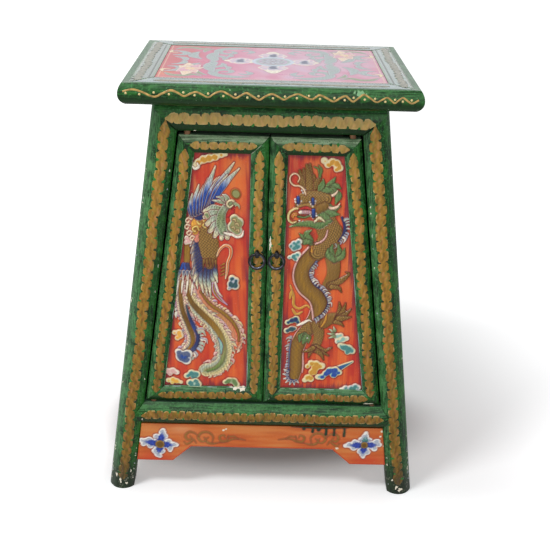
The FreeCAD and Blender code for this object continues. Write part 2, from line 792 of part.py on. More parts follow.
for side, side_sign in SIDES.items():
    for face, face_sign in FACES.items():
        seats = front_seats[face] + side_seats[side] + [side_panels[side]]
        if face == "back":
            seats.append(back_board)
        name = f"{face}_{side}_leg"
        carve(name, leg(f"{name}_block", side_sign, face_sign), seats)
    carve(f"{side}_top_rail", side_top_rails[side], [side_panels[side]])
    carve(f"{side}_bottom_rail", side_bottom_rails[side], [side_panels[side]])
    finish(f"{side}_apron", side_apron(f"{side}_apron", side_sign))
    finish(f"{side}_bottom_cleat", cleat(f"{side}_bottom_cleat", side_sign, "side_rail_depth",
                                         "(opening_low - board_drop - board_thickness)"))
    finish(f"{side}_shelf_cleat", cleat(f"{side}_shelf_cleat", side_sign, "panel_recess + panel_thickness",
                                        "shelf_height"))

carve("front_top_rail", top_rails["front"], upper_sockets)
carve("front_bottom_rail", bottom_rails["front"], lower_sockets)
carve("back_top_rail", top_rails["back"], [back_board])
carve("back_bottom_rail", bottom_rails["back"], [back_board])
finish("front_apron", front_apron())
finish("door_stop", door_stop())
finish("shelf", shelf())
carve("bottom_board", bottom_board(),
      [parts[f"{face}_{side}_leg"] for face in FACES for side in SIDES])

for face, face_sign in FACES.items():
    finish(f"top_frame_{face}", top_member(f"top_frame_{face}", "YZ_Plane", face_sign, "top_width / 2",
                                           "top_depth / 2"))
    finish(f"{face}_top_batten", top_batten(f"{face}_top_batten", face_sign))
for side, side_sign in SIDES.items():
    finish(f"top_frame_{side}", top_member(f"top_frame_{side}", "XZ_Plane", side_sign, "top_depth / 2",
                                           "top_width / 2"))
finish("top_panel", top_panel())

for index, (side, side_sign) in enumerate(SIDES.items()):
    door = f"{side}_door"
    panel = finish(f"{door}_panel", door_panel(f"{door}_panel", side_sign))
    carve(f"{door}_outer_stile", outer_stile(f"{door}_outer_stile_block", side_sign),
          [panel, lower_sockets[index], upper_sockets[index]])
    prong_holes = staple_prongs(f"{door}_staple_holes", side_sign, add_circle, "staple_wire + staple_fit",
                                "staple_depth + staple_fit")
    carve(f"{door}_inner_stile", inner_stile(f"{door}_inner_stile_block", side_sign),
          [panel, prong_holes])
    for place, edge, inward in (("bottom", DOOR_LOW, 1), ("top", DOOR_HIGH, -1)):
        rail = door_rail(f"{door}_{place}_rail_block", side_sign, edge, inward)
        carve(f"{door}_{place}_rail", rail, [panel, lower_sockets[index], upper_sockets[index]])
    finish(f"{door}_pivots", pivot_pins(f"{door}_pivots", side_sign))
    finish(f"{door}_staple", staple(f"{door}_staple", side_sign))
    finish(f"{door}_ring", ring(f"{door}_ring", side_sign))

doc.recompute()

failed = [o.Label for o in doc.Objects if "Invalid" in o.State or "Error" in o.State]
failed += [name for name, o in parts.items() if o.Shape.isNull() or not o.Shape.isValid()]
if failed:
    raise RuntimeError("These objects failed: " + ", ".join(failed))

os.makedirs("parts", exist_ok=True)
for name, part in parts.items():
    part.Shape.exportStep(f"parts/{name}.step")
    print(f"{name}: {len(part.Shape.Solids)} solid(s), {part.Shape.Volume:.0f} cubic mm")
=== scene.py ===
import json
import math
import bpy
import numpy as np
from mathutils import Matrix, Vector
from mathutils.bvhtree import BVHTree

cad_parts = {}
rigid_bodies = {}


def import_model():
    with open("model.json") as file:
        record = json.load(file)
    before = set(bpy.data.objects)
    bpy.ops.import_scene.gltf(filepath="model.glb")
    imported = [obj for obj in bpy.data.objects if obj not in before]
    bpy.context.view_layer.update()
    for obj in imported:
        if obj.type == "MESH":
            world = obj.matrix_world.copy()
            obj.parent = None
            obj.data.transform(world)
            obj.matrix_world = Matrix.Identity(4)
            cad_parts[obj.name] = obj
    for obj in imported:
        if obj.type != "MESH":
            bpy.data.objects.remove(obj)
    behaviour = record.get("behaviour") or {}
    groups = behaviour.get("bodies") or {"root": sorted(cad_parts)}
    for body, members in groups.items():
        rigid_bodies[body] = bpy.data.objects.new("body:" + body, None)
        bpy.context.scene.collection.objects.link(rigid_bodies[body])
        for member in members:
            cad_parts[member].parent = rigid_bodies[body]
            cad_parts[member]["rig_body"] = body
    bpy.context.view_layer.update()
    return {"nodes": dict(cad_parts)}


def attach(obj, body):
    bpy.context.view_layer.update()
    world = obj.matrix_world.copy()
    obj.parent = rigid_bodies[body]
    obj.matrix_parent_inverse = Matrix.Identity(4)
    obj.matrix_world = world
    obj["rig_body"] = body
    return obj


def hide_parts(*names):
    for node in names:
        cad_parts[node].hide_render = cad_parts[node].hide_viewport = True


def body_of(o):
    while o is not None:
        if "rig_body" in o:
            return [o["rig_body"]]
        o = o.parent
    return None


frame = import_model()
nodes = frame["nodes"]

# Sizes of the cabinet that the painted pieces follow, in millimetres.
# Its upright faces lean: they move by SPLAY in X and by LEAN in Y for each millimetre of height.
MM, METRE = 0.001, 1000
HEIGHT = 620
FOOT_X, FOOT_Y = 230.5, 143
LEG_TOP, LEG_TOP_X, LEG_TOP_Y = 592, 154.7, 123
SPLAY, LEAN = (FOOT_X - LEG_TOP_X) / LEG_TOP, (FOOT_Y - LEG_TOP_Y) / LEG_TOP
LEG_WIDTH = 37.5
DOOR_LOW, DOOR_HIGH = 148.2, 545.5
DOOR_FRAME, DOOR_PANEL_DEPTH = 24, 12.5
DOOR_SIDE_GAP, DOOR_CENTRE = 2.5, 0.75
FRAME_LAP = 0.6
APRON_LOW = ([107, 133], [72, 47])
APRON_TOP, APRON_REACH, APRON_DEPTH = 109.8, 186.3, 6.9
TOP_PANEL_LEVEL, TOP_PANEL_X, TOP_PANEL_Y = 619.7, 150.4, 113.4

# Colours as they look, red, green and blue from 0 to 255
PALETTE = {
    "deep_green": (14, 52, 28), "leaf": (104, 132, 78), "olive": (146, 146, 92), "sage": (152, 168, 128),
    "ochre": (150, 110, 36), "gold": (206, 148, 54), "amber": (238, 172, 70), "brown": (150, 112, 52),
    "dark_brown": (84, 56, 30), "cream": (232, 216, 172), "ivory": (238, 230, 210), "white": (240, 238, 232),
    "yellow": (226, 200, 110), "orange": (222, 104, 48), "red": (206, 68, 38), "scarlet": (188, 40, 40),
    "crimson": (142, 32, 42), "wine": (96, 22, 34), "pink": (226, 176, 168), "rose": (224, 140, 116),
    "lilac": (204, 176, 204), "blue": (40, 78, 160), "navy": (38, 50, 98), "slate": (86, 98, 130),
    "teal": (70, 132, 130), "dark_teal": (42, 82, 88), "aqua": (148, 192, 178), "ink": (34, 34, 32),
    "umber": (108, 76, 24), "gilt": (174, 130, 46), "flesh": (194, 134, 76), "straw": (222, 200, 140),
    "bright_green": (34, 120, 46), "flame": (232, 112, 50), "plum": (112, 40, 66), "haze": (176, 182, 196),
    "mauve": (198, 164, 200), "blush": (216, 146, 172), "berry": (192, 44, 64), "mist": (150, 168, 168),
    "peach": (236, 206, 176), "lichen": (126, 140, 96), "bronze": (134, 98, 42), "moss": (92, 124, 62),
    "rust": (176, 72, 30), "tan_orange": (206, 104, 44), "apricot": (216, 138, 74), "vine": (150, 92, 44),
    "royal": (44, 70, 168), "rose_red": (204, 84, 132), "pale_blue": (192, 206, 224), "pale_green": (130, 176, 130),
    "braid": (182, 148, 86), "fog": (176, 186, 166), "soot": (52, 52, 44), "bottle": (16, 78, 28),
}
PALETTE = {name: np.array(rgb) / 255 for name, rgb in PALETTE.items()}


def linear(rgb):
    """Scene colour values of a colour as it looks."""
    rgb = np.asarray(rgb, float)
    return np.where(rgb <= 0.04045, rgb / 12.92, ((rgb + 0.055) / 1.055) ** 2.4)


def tone(rgb):
    return (*(float(v) for v in linear(np.array(rgb) / 255)), 1.0)


# Camera: the photograph's own view, for a square frame

LENS = 62.18
PITCH, YAW, ROLL = math.radians(23.7), math.radians(0.9), math.radians(1.8)
CAMERA_AT = Vector((-0.007, -1.333, 0.882))


def add_object(name, data):
    made = bpy.data.objects.new(name, data)
    bpy.context.scene.collection.objects.link(made)
    return made


def add_camera():
    forward = Vector((math.sin(YAW) * math.cos(PITCH), math.cos(YAW) * math.cos(PITCH), -math.sin(PITCH)))
    level = Vector((math.cos(YAW), -math.sin(YAW), 0))
    up = level.cross(forward)
    right = math.cos(ROLL) * level + math.sin(ROLL) * up
    top = -math.sin(ROLL) * level + math.cos(ROLL) * up
    data = bpy.data.cameras.new("camera")
    data.lens = LENS
    camera = add_object("camera", data)
    turn = Matrix((right, top, -forward)).transposed()
    camera.matrix_world = Matrix.Translation(CAMERA_AT) @ turn.to_4x4()
    bpy.context.scene.camera = camera


class Tree:
    """The nodes of a material or world. Values between calls are sockets or plain numbers."""

    def __init__(self, tree):
        self.tree = tree

    def node(self, kind, values=(), **settings):
        made = self.tree.nodes.new("ShaderNode" + kind)
        for key, value in settings.items():
            setattr(made, key, value)
        for key, value in dict(values).items():
            self.put(made.inputs[key], value)
        return made

    def put(self, socket, value):
        if isinstance(value, bpy.types.NodeSocket):
            self.tree.links.new(value, socket)
        else:
            socket.default_value = value

    def math(self, operation, *values):
        return self.node("Math", enumerate(values), operation=operation).outputs[0]

    def add(self, a, b):
        return self.math("ADD", a, b)

    def sub(self, a, b):
        return self.math("SUBTRACT", a, b)

    def mul(self, a, b):
        return self.math("MULTIPLY", a, b)

    def vector(self, operation, *values, output=0):
        return self.node("VectorMath", enumerate(values), operation=operation).outputs[output]

    def dot(self, vector, direction):
        return self.vector("DOT_PRODUCT", vector, direction, output=1)

    def step(self, value, low, high):
        """0 below low and 1 above high; the other way round when low is the larger."""
        ends = {0: value, 1: min(low, high), 2: max(low, high)}
        found = self.node("MapRange", ends, interpolation_type="SMOOTHSTEP").outputs[0]
        return self.sub(1, found) if low > high else found

    def mix(self, factor, a, b):
        return self.node("Mix", {0: factor, 6: a, 7: b}, data_type="RGBA").outputs[2]

    def over(self, colour, mask, amount, paint):
        """The colour with a paint over it where the mask is 1."""
        return self.mix(self.mul(mask, amount), colour, tone(paint))

    def place(self):
        """Where a point is at rest, in metres."""
        return self.node("TexCoord").outputs["Object"]

    def noise(self, vector, scale, detail=2.0, rough=0.5):
        values = {"Vector": vector, "Scale": scale, "Detail": detail, "Roughness": rough}
        return self.node("TexNoise", values).outputs[0]

    def brushed(self, place, streaks, detail, rough):
        """Noise with this many streaks along X, Y and Z for each metre."""
        return self.noise(self.vector("MULTIPLY", place, streaks), 1.0, detail, rough)

    def end(self, kind, result):
        self.put(self.node(kind).inputs[0], result.outputs[0])


def new_material(name):
    material = bpy.data.materials.new(name)
    material.use_nodes = True
    material.node_tree.nodes.clear()
    return material, Tree(material.node_tree)


def finish_material(tree, colour, roughness, height, strength, reach, coat, coat_roughness, **fixed):
    shader = tree.node("BsdfPrincipled", {"Base Color": colour, "Roughness": roughness, "Coat Weight": coat,
        "Coat Roughness": coat_roughness})
    for key, value in fixed.items():
        shader.inputs[key.replace("_", " ")].default_value = value
    bump = tree.node("Bump", {"Strength": strength, "Distance": reach, "Height": height})
    tree.put(shader.inputs["Normal"], bump.outputs[0])
    tree.end("OutputMaterial", shader)


def green_paint(name, grain="z", seams=(), fade_and_highlight=1.0, gloss=0.3, sheen=0.1, dust_and_highlight=(98, 138, 100),
        sky_reflection=((74, 104, 82), (96, 130, 104))):
    """Dark green paint, brushed along the grain axis and paler where worn, with painted highlight and reflection on
    faces that look up or left and on flat tops, and painted shade on faces that look down.

    seams are planes (point, normal, pale) in mm where a joint shows as a thin crack, from dark to pale paint.
    """
    material, t = new_material(name)
    place = t.place()
    slow = t.noise(place, 13, 3)
    patch = t.noise(place, 48, 4, 0.65)
    streak = t.brushed(place, [14 if axis == grain else 190 for axis in "xyz"], 4, 0.65)
    fine = t.noise(place, 900, 3, 0.7)
    speck = t.noise(place, 330, 3, 0.7)
    hair = t.brushed(place, [30 if axis == grain else 620 for axis in "xyz"], 3, 0.7)
    colour = t.mix(t.step(streak, 0.4, 0.6), tone((5, 36, 8)), tone((24, 88, 26)))
    colour = t.over(colour, t.step(patch, 0.48, 0.62), 0.7, (42, 114, 34))
    colour = t.over(colour, t.step(slow, 0.5, 0.72), 0.4, (24, 66, 28))
    # Paint is paler and greyer on top and on faces that look left: partly worn and dusty paint, partly a painted
    # highlight where the light falls
    normal = t.node("TexCoord").outputs["Normal"]
    upper = t.mul(t.step(t.dot(normal, (-0.2, 0, 1)), 0.1, 0.55), fade_and_highlight)
    worn = t.step(t.add(t.mul(patch, 0.4), t.mul(hair, 0.6)), 0.42, 0.58)
    colour = t.over(colour, upper, t.add(0.25, t.mul(worn, 0.6)), dust_and_highlight)
    outer = t.mul(t.step(t.dot(normal, (-1, 0, 0)), 0.1, 0.5), fade_and_highlight)
    colour = t.over(colour, outer, t.add(0.05, t.mul(worn, 0.5)), (94, 140, 94))
    colour = t.over(colour, t.step(hair, 0.54, 0.64), 0.4, (72, 134, 70))
    colour = t.over(colour, t.step(hair, 0.46, 0.36), 0.65, (4, 28, 10))
    # Painted reflection of the sky: flat tops take pale blue-grey sky colours
    flat = t.step(t.dot(normal, (0, 0, 1)), 0.93, 0.99)
    colour = t.mix(t.mul(flat, 0.85), colour, t.mix(worn, tone(sky_reflection[0]), tone(sky_reflection[1])))
    colour = t.over(colour, t.step(speck, 0.56, 0.64), 0.5, (84, 150, 92))
    colour = t.over(colour, t.step(speck, 0.42, 0.34), 0.55, (8, 32, 10))
    # Painted shade: faces that look down are darkened
    under = t.step(t.dot(normal, (0, -0.35, -1)), 0.25, 0.7)
    colour = t.over(colour, under, 0.85, (6, 40, 4))
    height = t.add(t.mul(streak, 0.6), t.mul(speck, 0.3))
    rough = t.add(gloss, t.mul(slow, 0.2))
    for point, direction, pale in seams:
        offset = t.vector("SUBTRACT", place, tuple(Vector(point) * MM))
        far = t.dot(offset, tuple(Vector(direction).normalized() * METRE))
        far = t.math("ABSOLUTE", t.add(far, t.mul(t.sub(patch, 0.5), 0.8)))
        crack = t.math("LESS_THAN", far, t.add(0.06, t.mul(t.noise(place, 120, 2), 0.34 + 0.3 * pale)))
        bare = t.step(t.noise(place, 70, 2), 0.8 - 0.42 * pale, 0.86 - 0.4 * pale)
        colour = t.mix(t.mul(crack, 0.75), colour, t.mix(bare, tone((14, 26, 16)), tone((196, 200, 180))))
        height = t.sub(height, crack)
    # Small chips down to the pale ground, and dark worn feet
    low = t.step(t.dot(place, (0, 0, METRE)), 85, 8)
    chip = t.step(t.noise(place, 260, 4, 0.75), 0.66, 0.69)
    chip = t.mul(chip, t.step(t.noise(place, 34, 1), 0.5, 0.6))
    foot_chip = t.mul(t.step(t.noise(place, 150, 4, 0.7), 0.58, 0.63), low)
    colour = t.over(colour, low, 0.85, (32, 34, 28))
    colour = t.over(colour, chip, 0.8, (156, 190, 152))
    colour = t.over(colour, foot_chip, 0.5, (150, 148, 132))
    height = t.add(height, t.mul(fine, 0.12))
    finish_material(t, colour, rough, height, 0.4, 0.0006, sheen, 0.16, Specular_IOR_Level=sheen + 0.08)
    return material


def plain_paint(name, dark, light, grain, gloss=0.35, coat=0.2):
    """Brushed paint or wood with streaks; grain is the number of streaks along X, Y and Z for each metre."""
    material, t = new_material(name)
    place = t.place()
    streak = t.brushed(place, grain, 4, 0.6)
    slow = t.noise(place, 9, 3)
    fine = t.noise(place, 700, 3, 0.7)
    colour = t.mix(t.step(streak, 0.3, 0.7), tone(dark), tone(light))
    colour = t.over(colour, t.step(slow, 0.4, 0.8), 0.35, dark)
    height = t.add(streak, t.mul(fine, 0.15))
    finish_material(t, colour, t.add(gloss, t.mul(slow, 0.2)), height, 0.3, 0.0004, coat, 0.15)
    return material


def iron_paint(name):
    material, t = new_material(name)
    place = t.place()
    rust = t.step(t.noise(place, 260, 4, 0.7), 0.5, 0.68)
    dents = t.noise(place, 420, 2)
    colour = t.mix(rust, tone((14, 14, 20)), tone((36, 32, 34)))
    # Pale bluish metal where the ring's paint attribute says: rubbed bare, and a painted highlight there
    rubbed_and_glint = t.dot(t.node("Attribute", attribute_name="paint").outputs["Color"], (1, 0, 0))
    colour = t.over(colour, rubbed_and_glint, t.sub(1, t.mul(rust, 0.5)), (176, 180, 206))
    finish_material(t, colour, t.add(0.3, t.mul(rust, 0.3)), dents, 0.5, 0.0005, 0.12, 0.1, Metallic=0.5)
    return material


def picture_paint(name, gloss=0.28, coat=0.15, specular=0.22):
    """Paint whose colours are in the mesh, with brush marks and a coat of old varnish."""
    material, t = new_material(name)
    place = t.place()
    colour = t.node("Attribute", attribute_name="paint").outputs["Color"]
    fine = t.noise(place, 1100, 3, 0.7)
    slow = t.noise(place, 26, 3)
    brush = t.brushed(place, (420, 420, 60), 3, 0.6)
    colour = t.mix(t.mul(t.step(fine, 0.42, 0.75), 0.22), colour, t.mix(0.7, colour, tone((70, 40, 24))))
    colour = t.over(colour, t.step(slow, 0.5, 0.8), 0.07, (210, 180, 130))
    # Painted glints: small pale specks of light on the relief
    glint = t.step(t.noise(place, 620, 3, 0.75), 0.66, 0.72)
    colour = t.over(colour, glint, 0.4, (232, 222, 196))
    height = t.add(t.mul(brush, 0.7), t.mul(fine, 0.35))
    rough = t.add(gloss, t.mul(slow, 0.16))
    finish_material(t, colour, rough, height, 0.3, 0.0004, coat, 0.1, Specular_IOR_Level=specular)
    return material


# Arithmetic on arrays of points, colours and heights. Colour names are written in one string.

def ramp(value, stops):
    """Colours for an array of numbers, from (place, colour name) stops."""
    places, names = zip(*stops)
    shades = np.array([PALETTE[name] for name in names])
    return np.stack([np.interp(value, places, shades[:, i]) for i in range(3)], -1)


def spread(names, low=0.0, high=1.0):
    """The names as evenly spaced stops."""
    names = names.split()
    if len(names) == 1:
        names = names * 2
    return list(zip(np.linspace(low, high, len(names)), names))


def blend(colours, paint, share):
    """The colours with a paint over them, each by its share."""
    paint = PALETTE[paint] if isinstance(paint, str) else paint
    share = np.asarray(share)[..., None]
    return colours * (1 - share) + paint * share


def smooth(value, low, high):
    t = np.clip((value - low) / (high - low), 0, 1)
    return t * t * (3 - 2 * t)


def bell(value, middle, width):
    return np.exp(-((value - middle) / width) ** 2)


def joined(depths, sharpness):
    """The largest number of each row, with a soft passage from one column to the next."""
    return np.log(np.exp(sharpness * depths).sum(1)) / sharpness


def mesh_grid(*axes):
    return np.meshgrid(*axes, indexing="ij")


def curve(points, gap=0.6):
    """A smooth line through the points, as evenly close samples, and the length along it at each."""
    points = np.array(points, float)
    padded = np.vstack([2 * points[0] - points[1], points, 2 * points[-1] - points[-2]])
    samples = []
    for i in range(len(points) - 1):
        a, b, c, d = padded[i:i + 4]
        count = max(2, int(np.hypot(*(c - b)) / gap))
        t = np.linspace(0, 1, count, endpoint=False)[:, None]
        cubic = (2 * a - 5 * b + 4 * c - d) * t ** 2 + (3 * b - a - 3 * c + d) * t ** 3
        samples.append(0.5 * (2 * b + (c - a) * t + cubic))
    line = np.vstack(samples + [points[-1:]])
    return line, np.concatenate([[0], np.cumsum(np.hypot(*np.diff(line, axis=0).T))])


def course(points, widths, gap=0.6):
    """A curve, the length along it, and its direction and half width at each sample."""
    line, along = curve(points, gap)
    tangent = np.gradient(line, axis=0)
    tangent /= np.hypot(*tangent.T)[:, None] + 1e-9
    return line, along, tangent, np.interp(along / along[-1], np.linspace(0, 1, len(widths)), widths)


def waves(x, z, seed, count=12, low=20, high=120, near=3, far=18):
    """A smooth pattern of brush streaks, mostly between -1 and 1, made of sine waves.

    The waves' lengths are from near to far across and from low to high upwards.
    """
    draw = np.random.default_rng(seed)
    total = np.zeros_like(x)
    for _ in range(count):
        across = draw.choice((-1, 1)) * 2 * math.pi / draw.uniform(near, far)
        upward = draw.uniform(-1, 1) * 2 * math.pi / draw.uniform(low, high)
        total += np.sin(across * x + upward * z + draw.uniform(0, 6.3))
    return total / count ** 0.5


SOFT_EDGE = 0.7


class Picture:
    """A grid of points (x, z, in mm) with its colours and heights, painted stroke over stroke."""

    def __init__(self, x, z, ground):
        self.x, self.z = x.ravel(), z.ravel()
        self.colour = ground.reshape(-1, 3).copy()
        self.height = np.zeros(len(self.x))

    def near(self, points, reach):
        """Which grid points are in the box round some points, and where they are."""
        low, high = points.min(0) - reach, points.max(0) + reach
        inside = (self.x > low[0]) & (self.x < high[0]) & (self.z > low[1]) & (self.z < high[1])
        where = np.flatnonzero(inside)
        return where, np.stack([self.x[where], self.z[where]], 1)

    def lay(self, where, cover, colour, height=None):
        self.colour[where] = blend(self.colour[where], colour, cover)
        if height is not None:
            self.height[where] = self.height[where] * (1 - cover) + height * cover

    def wash(self, x, z, reach_x, reach_z, name, amount):
        """A soft patch of colour, laid before the figures."""
        self.colour = blend(self.colour, name, amount * bell(self.x, x, reach_x) * bell(self.z, z, reach_z))

    def stroke(self, points, widths, fill, edge=None, edge_width=0.9, rise=1.0, across=None, serrate=None,
            barbs=None, scales=None, outline_and_shade=0.4):
        """A brush stroke. widths are half widths along it; fill names colours from start to end.

        across names colours from the left edge to the right edge instead. serrate is (period, depth, side)
        of its ragged edge, barbs (period, slant, strength) of thin dark lines, and scales their size.
        """
        line, along, tangent, width = course(points, widths)
        where, spot = self.near(line, width.max() + 2 + (serrate[1] if serrate else 0))
        if not len(where):
            return
        squares = (spot ** 2).sum(1)[:, None] + (line ** 2).sum(1)[None] - 2 * spot @ line.T
        near = squares.argmin(1)
        away = np.sqrt(np.maximum(squares[np.arange(len(near)), near], 0))
        offset = spot - line[near]
        side = np.sign(tangent[near, 0] * offset[:, 1] - tangent[near, 1] * offset[:, 0])
        half, at = width[near], along[near]
        if serrate:
            period, depth, which = serrate
            drift = at / period + 0.4 * np.sin(at / 4.7 + side) + 0.5 * np.sin(at / 10.3 + 2 * side) + 0.25 * side
            tooth = depth * (drift % 1) * (0.75 + 0.5 * np.sin(at / 6.1 + side))
            half = half + np.where(side * which >= 0 if which else True, tooth, 0)
        inner = half - away
        # A thin dark wine line round the stroke: partly a painted outline, partly painted shade round the raised
        # relief
        if outline_and_shade:
            self.lay(where, outline_and_shade * bell(inner, -0.5, 0.65), "wine")
        keep = inner > -1
        where, inner, half, side, at = (a[keep] for a in (where, inner, half, side, at))
        s = side * np.clip((half - inner) / np.maximum(half, 0.1), 0, 1)
        colour = ramp(-s, spread(across, -1, 1)) if across else ramp(at / along[-1], spread(fill))
        if barbs:
            period, slant, strength = barbs
            mark = (at / period + slant * np.abs(s) + 0.4 * np.sin(at / 6.3) + 0.2 * s) % 1
            dark = strength * bell(mark, 0.5, 0.15) * smooth(np.abs(s), 0.1, 0.5)
            colour = colour * (1 - dark)[:, None]
        mottle = waves(self.x[where], self.z[where], len(line) % 40, 7, 3, 10, 2, 7)
        colour = colour * (1 + (0.11 if barbs or serrate else 0.06) * mottle)[:, None]
        height = 0.35 + rise * np.sqrt(np.clip(1 - s ** 2, 0.04, 1))
        if scales:
            u, v = at / scales, s * half / scales
            net = np.abs(np.sin(math.pi * (u + v) / 1.25) * np.sin(math.pi * (u - v) / 1.25))
            groove = bell(net, 0, 0.24)
            colour = colour * (1 - 0.36 * groove)[:, None] + 0.05 * (net ** 2)[:, None]
            height = height - 0.35 * groove
        if edge:
            colour = blend(colour, edge, np.clip((edge_width - inner) / 0.5 + 0.5, 0, 1))
        self.lay(where, np.clip(inner / SOFT_EDGE + 0.5, 0, 1), colour, np.maximum(height, 0.1))

    def fringe(self, points, widths, names, seed, reach=7.0, spacing=4.2, half=1.9, sides=(-1, 1), edge="ivory"):
        """Small ragged flames along the edges of a plume."""
        line, along, tangent, width = course(points, widths)
        draw = np.random.default_rng(seed)
        at = spacing
        while at < along[-1]:
            for side in sides:
                i = min(int(np.searchsorted(along, at + draw.uniform(-1.2, 1.2))), len(line) - 1)
                way = tangent[i]
                out = side * np.array([-way[1], way[0]])
                root = line[i] + out * (width[i] - 3)
                far = reach * draw.uniform(0.55, 1.3)
                bend = root + out * far * 0.62 + way * far * 0.12
                tip = root + out * far * draw.uniform(0.5, 0.95) + way * far * draw.uniform(0.3, 1.1)
                thick = half * draw.uniform(0.7, 1.35)
                self.stroke([root, bend, tip], [thick * 1.3, thick, 0.4], draw.choice(names.split()), edge, 0.4,
                    0.9, outline_and_shade=0.35)
            at += spacing * draw.uniform(0.6, 1.45)

    def cloud(self, circles, fill, edge="cream", rim=2.0, rise=1.4, shadow="wine"):
        """A puff of joined circles (x, z, radius), pale along its edge and coloured in its middle."""
        circles = np.array(circles, float)
        where, spot = self.near(circles[:, :2], circles[:, 2].max() + 4)
        depth = circles[:, 2] - np.hypot(spot[:, None, 0] - circles[:, 0], spot[:, None, 1] - circles[:, 1])
        inside = joined(depth - 0.3, 0.8)
        keep = inside > -2.5
        where, inside, depth, (x, z) = where[keep], inside[keep], depth[keep], spot[keep].T
        if not len(where):
            return
        core = joined(depth, 0.1)
        rim_line = np.abs(inside) < 1
        low = np.median(core[rim_line]) if rim_line.any() else core.min()
        uneven = np.clip(1.0 + 0.5 * waves(x, z, 7, 6, 6, 16, 6, 16), 0.5, 1.5)
        share = np.clip(1.5 * (core - low) / (core.max() - low + 0.01), 0, 1)
        share = share * smooth(inside, -0.6, rim * 2.0 * uneven) + 0.04 * waves(x, z, len(circles), 6, 4, 12, 4, 12)
        names = fill.split()
        stops = [(0.16 + 0.6 * (i + 0.5) / len(names), name) for i, name in enumerate(names)]
        colour = ramp(share, [(0, edge), (0.03, edge)] + stops)
        if len(circles) > 2:
            fold = bell(depth, rim * 0.3, 0.5).max(1) * smooth(inside, rim * 0.7, rim * 1.6) * 0.14
            colour = blend(colour, edge, fold)
        if shadow:
            self.lay(where, 0.5 * bell(inside, -0.9, 0.7) * (inside < 0.2), shadow)
        dome = 1 - np.exp(-np.maximum(inside, 0) / 1.6)
        height = 0.35 + rise * dome + 0.5 * bell(inside, 1.2, 0.9)
        self.lay(where, np.clip(inside / SOFT_EDGE + 0.5, 0, 1), colour, height)


def put_mesh(name, vertices, faces, body, material, colours=None):
    """A new piece from points in metres."""
    mesh = bpy.data.meshes.new(name)
    mesh.from_pydata([tuple(v) for v in vertices], [], [tuple(int(i) for i in f) for f in faces])
    if colours is not None:
        layer = mesh.color_attributes.new("paint", "FLOAT_COLOR", "POINT")
        rgba = np.ones((len(colours), 4), np.float32)
        rgba[:, :3] = linear(colours)
        layer.data.foreach_set("color", rgba.ravel())
    mesh.polygons.foreach_set("use_smooth", [True] * len(mesh.polygons))
    mesh.materials.append(material)
    piece = add_object(name, mesh)
    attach(piece, body)
    return piece


def grid_faces(rows, columns, start=0):
    index = start + np.arange(rows * columns).reshape(rows, columns)
    return np.stack([index[:-1, :-1], index[:-1, 1:], index[1:, 1:], index[1:, :-1]], -1).reshape(-1, 4)


def tube_faces(index):
    """Faces between the rows of a grid of indices, each row closed on itself."""
    beside = np.roll(index, -1, 1)
    return np.stack([index[:-1], index[1:], beside[1:], beside[:-1]], -1).reshape(-1, 4)


def put_sheet(name, top, base, colours, body, material):
    """A closed sheet from two grids of points (rows, columns, 3), in mm, with its colours on the top."""
    rows, columns = top.shape[:2]
    index = np.arange(rows * columns).reshape(rows, columns)
    rim = np.concatenate([index[0, :], index[1:, -1], index[-1, -2::-1], index[-2:0:-1, 0]])
    under = rows * columns + np.arange(len(rim))
    after = np.roll(np.arange(len(rim)), -1)
    walls = np.stack([rim, under, under[after], rim[after]], -1)
    points = np.vstack([top.reshape(-1, 3), base.reshape(-1, 3)[rim]])
    shades = None if colours is None else np.vstack([colours, colours[rim]])
    put_mesh(name, points * MM, [*grid_faces(rows, columns), *walls, under[::-1]], body, material, shades)


def front_at(x, z, depth):
    """A point in the leaning front, depth behind the legs' crown."""
    return np.stack([x, -(FOOT_Y - LEAN * z - depth), z], -1)


# Paint on the mouldings: thin raised pieces that are dropped onto the solids they lie on

FRONT, DOWN = (0, 1, 0), (0, 0, -1)
FRONT_PLANE, RAY_START = -150.0, 60


class Surface:
    """What a ray meets first among one body's solids."""

    def __init__(self, body):
        vertices, faces = [], []
        for node in nodes.values():
            if body in body_of(node) and "staple" not in node.name:
                start = len(vertices)
                vertices += [v.co.copy() for v in node.data.vertices]
                faces += [[start + i for i in p.vertices] for p in node.data.polygons]
        self.tree = BVHTree.FromPolygons(vertices, faces)

    def meet(self, points, way, height=0):
        """The points moved along way onto the solids, then back by height, all in mm."""
        way = Vector(way)
        found = np.array(points, float)
        flat = found.reshape(-1, 3)
        height = np.broadcast_to(height, found.shape[:-1]).ravel()
        for i, point in enumerate(flat):
            hit = self.tree.ray_cast((Vector(point) - way * RAY_START) * MM, way)[0]
            if hit is None:
                hit = self.tree.find_nearest(Vector(point) * MM)[0]
            flat[i] = hit / MM - way * float(height[i])
        return found


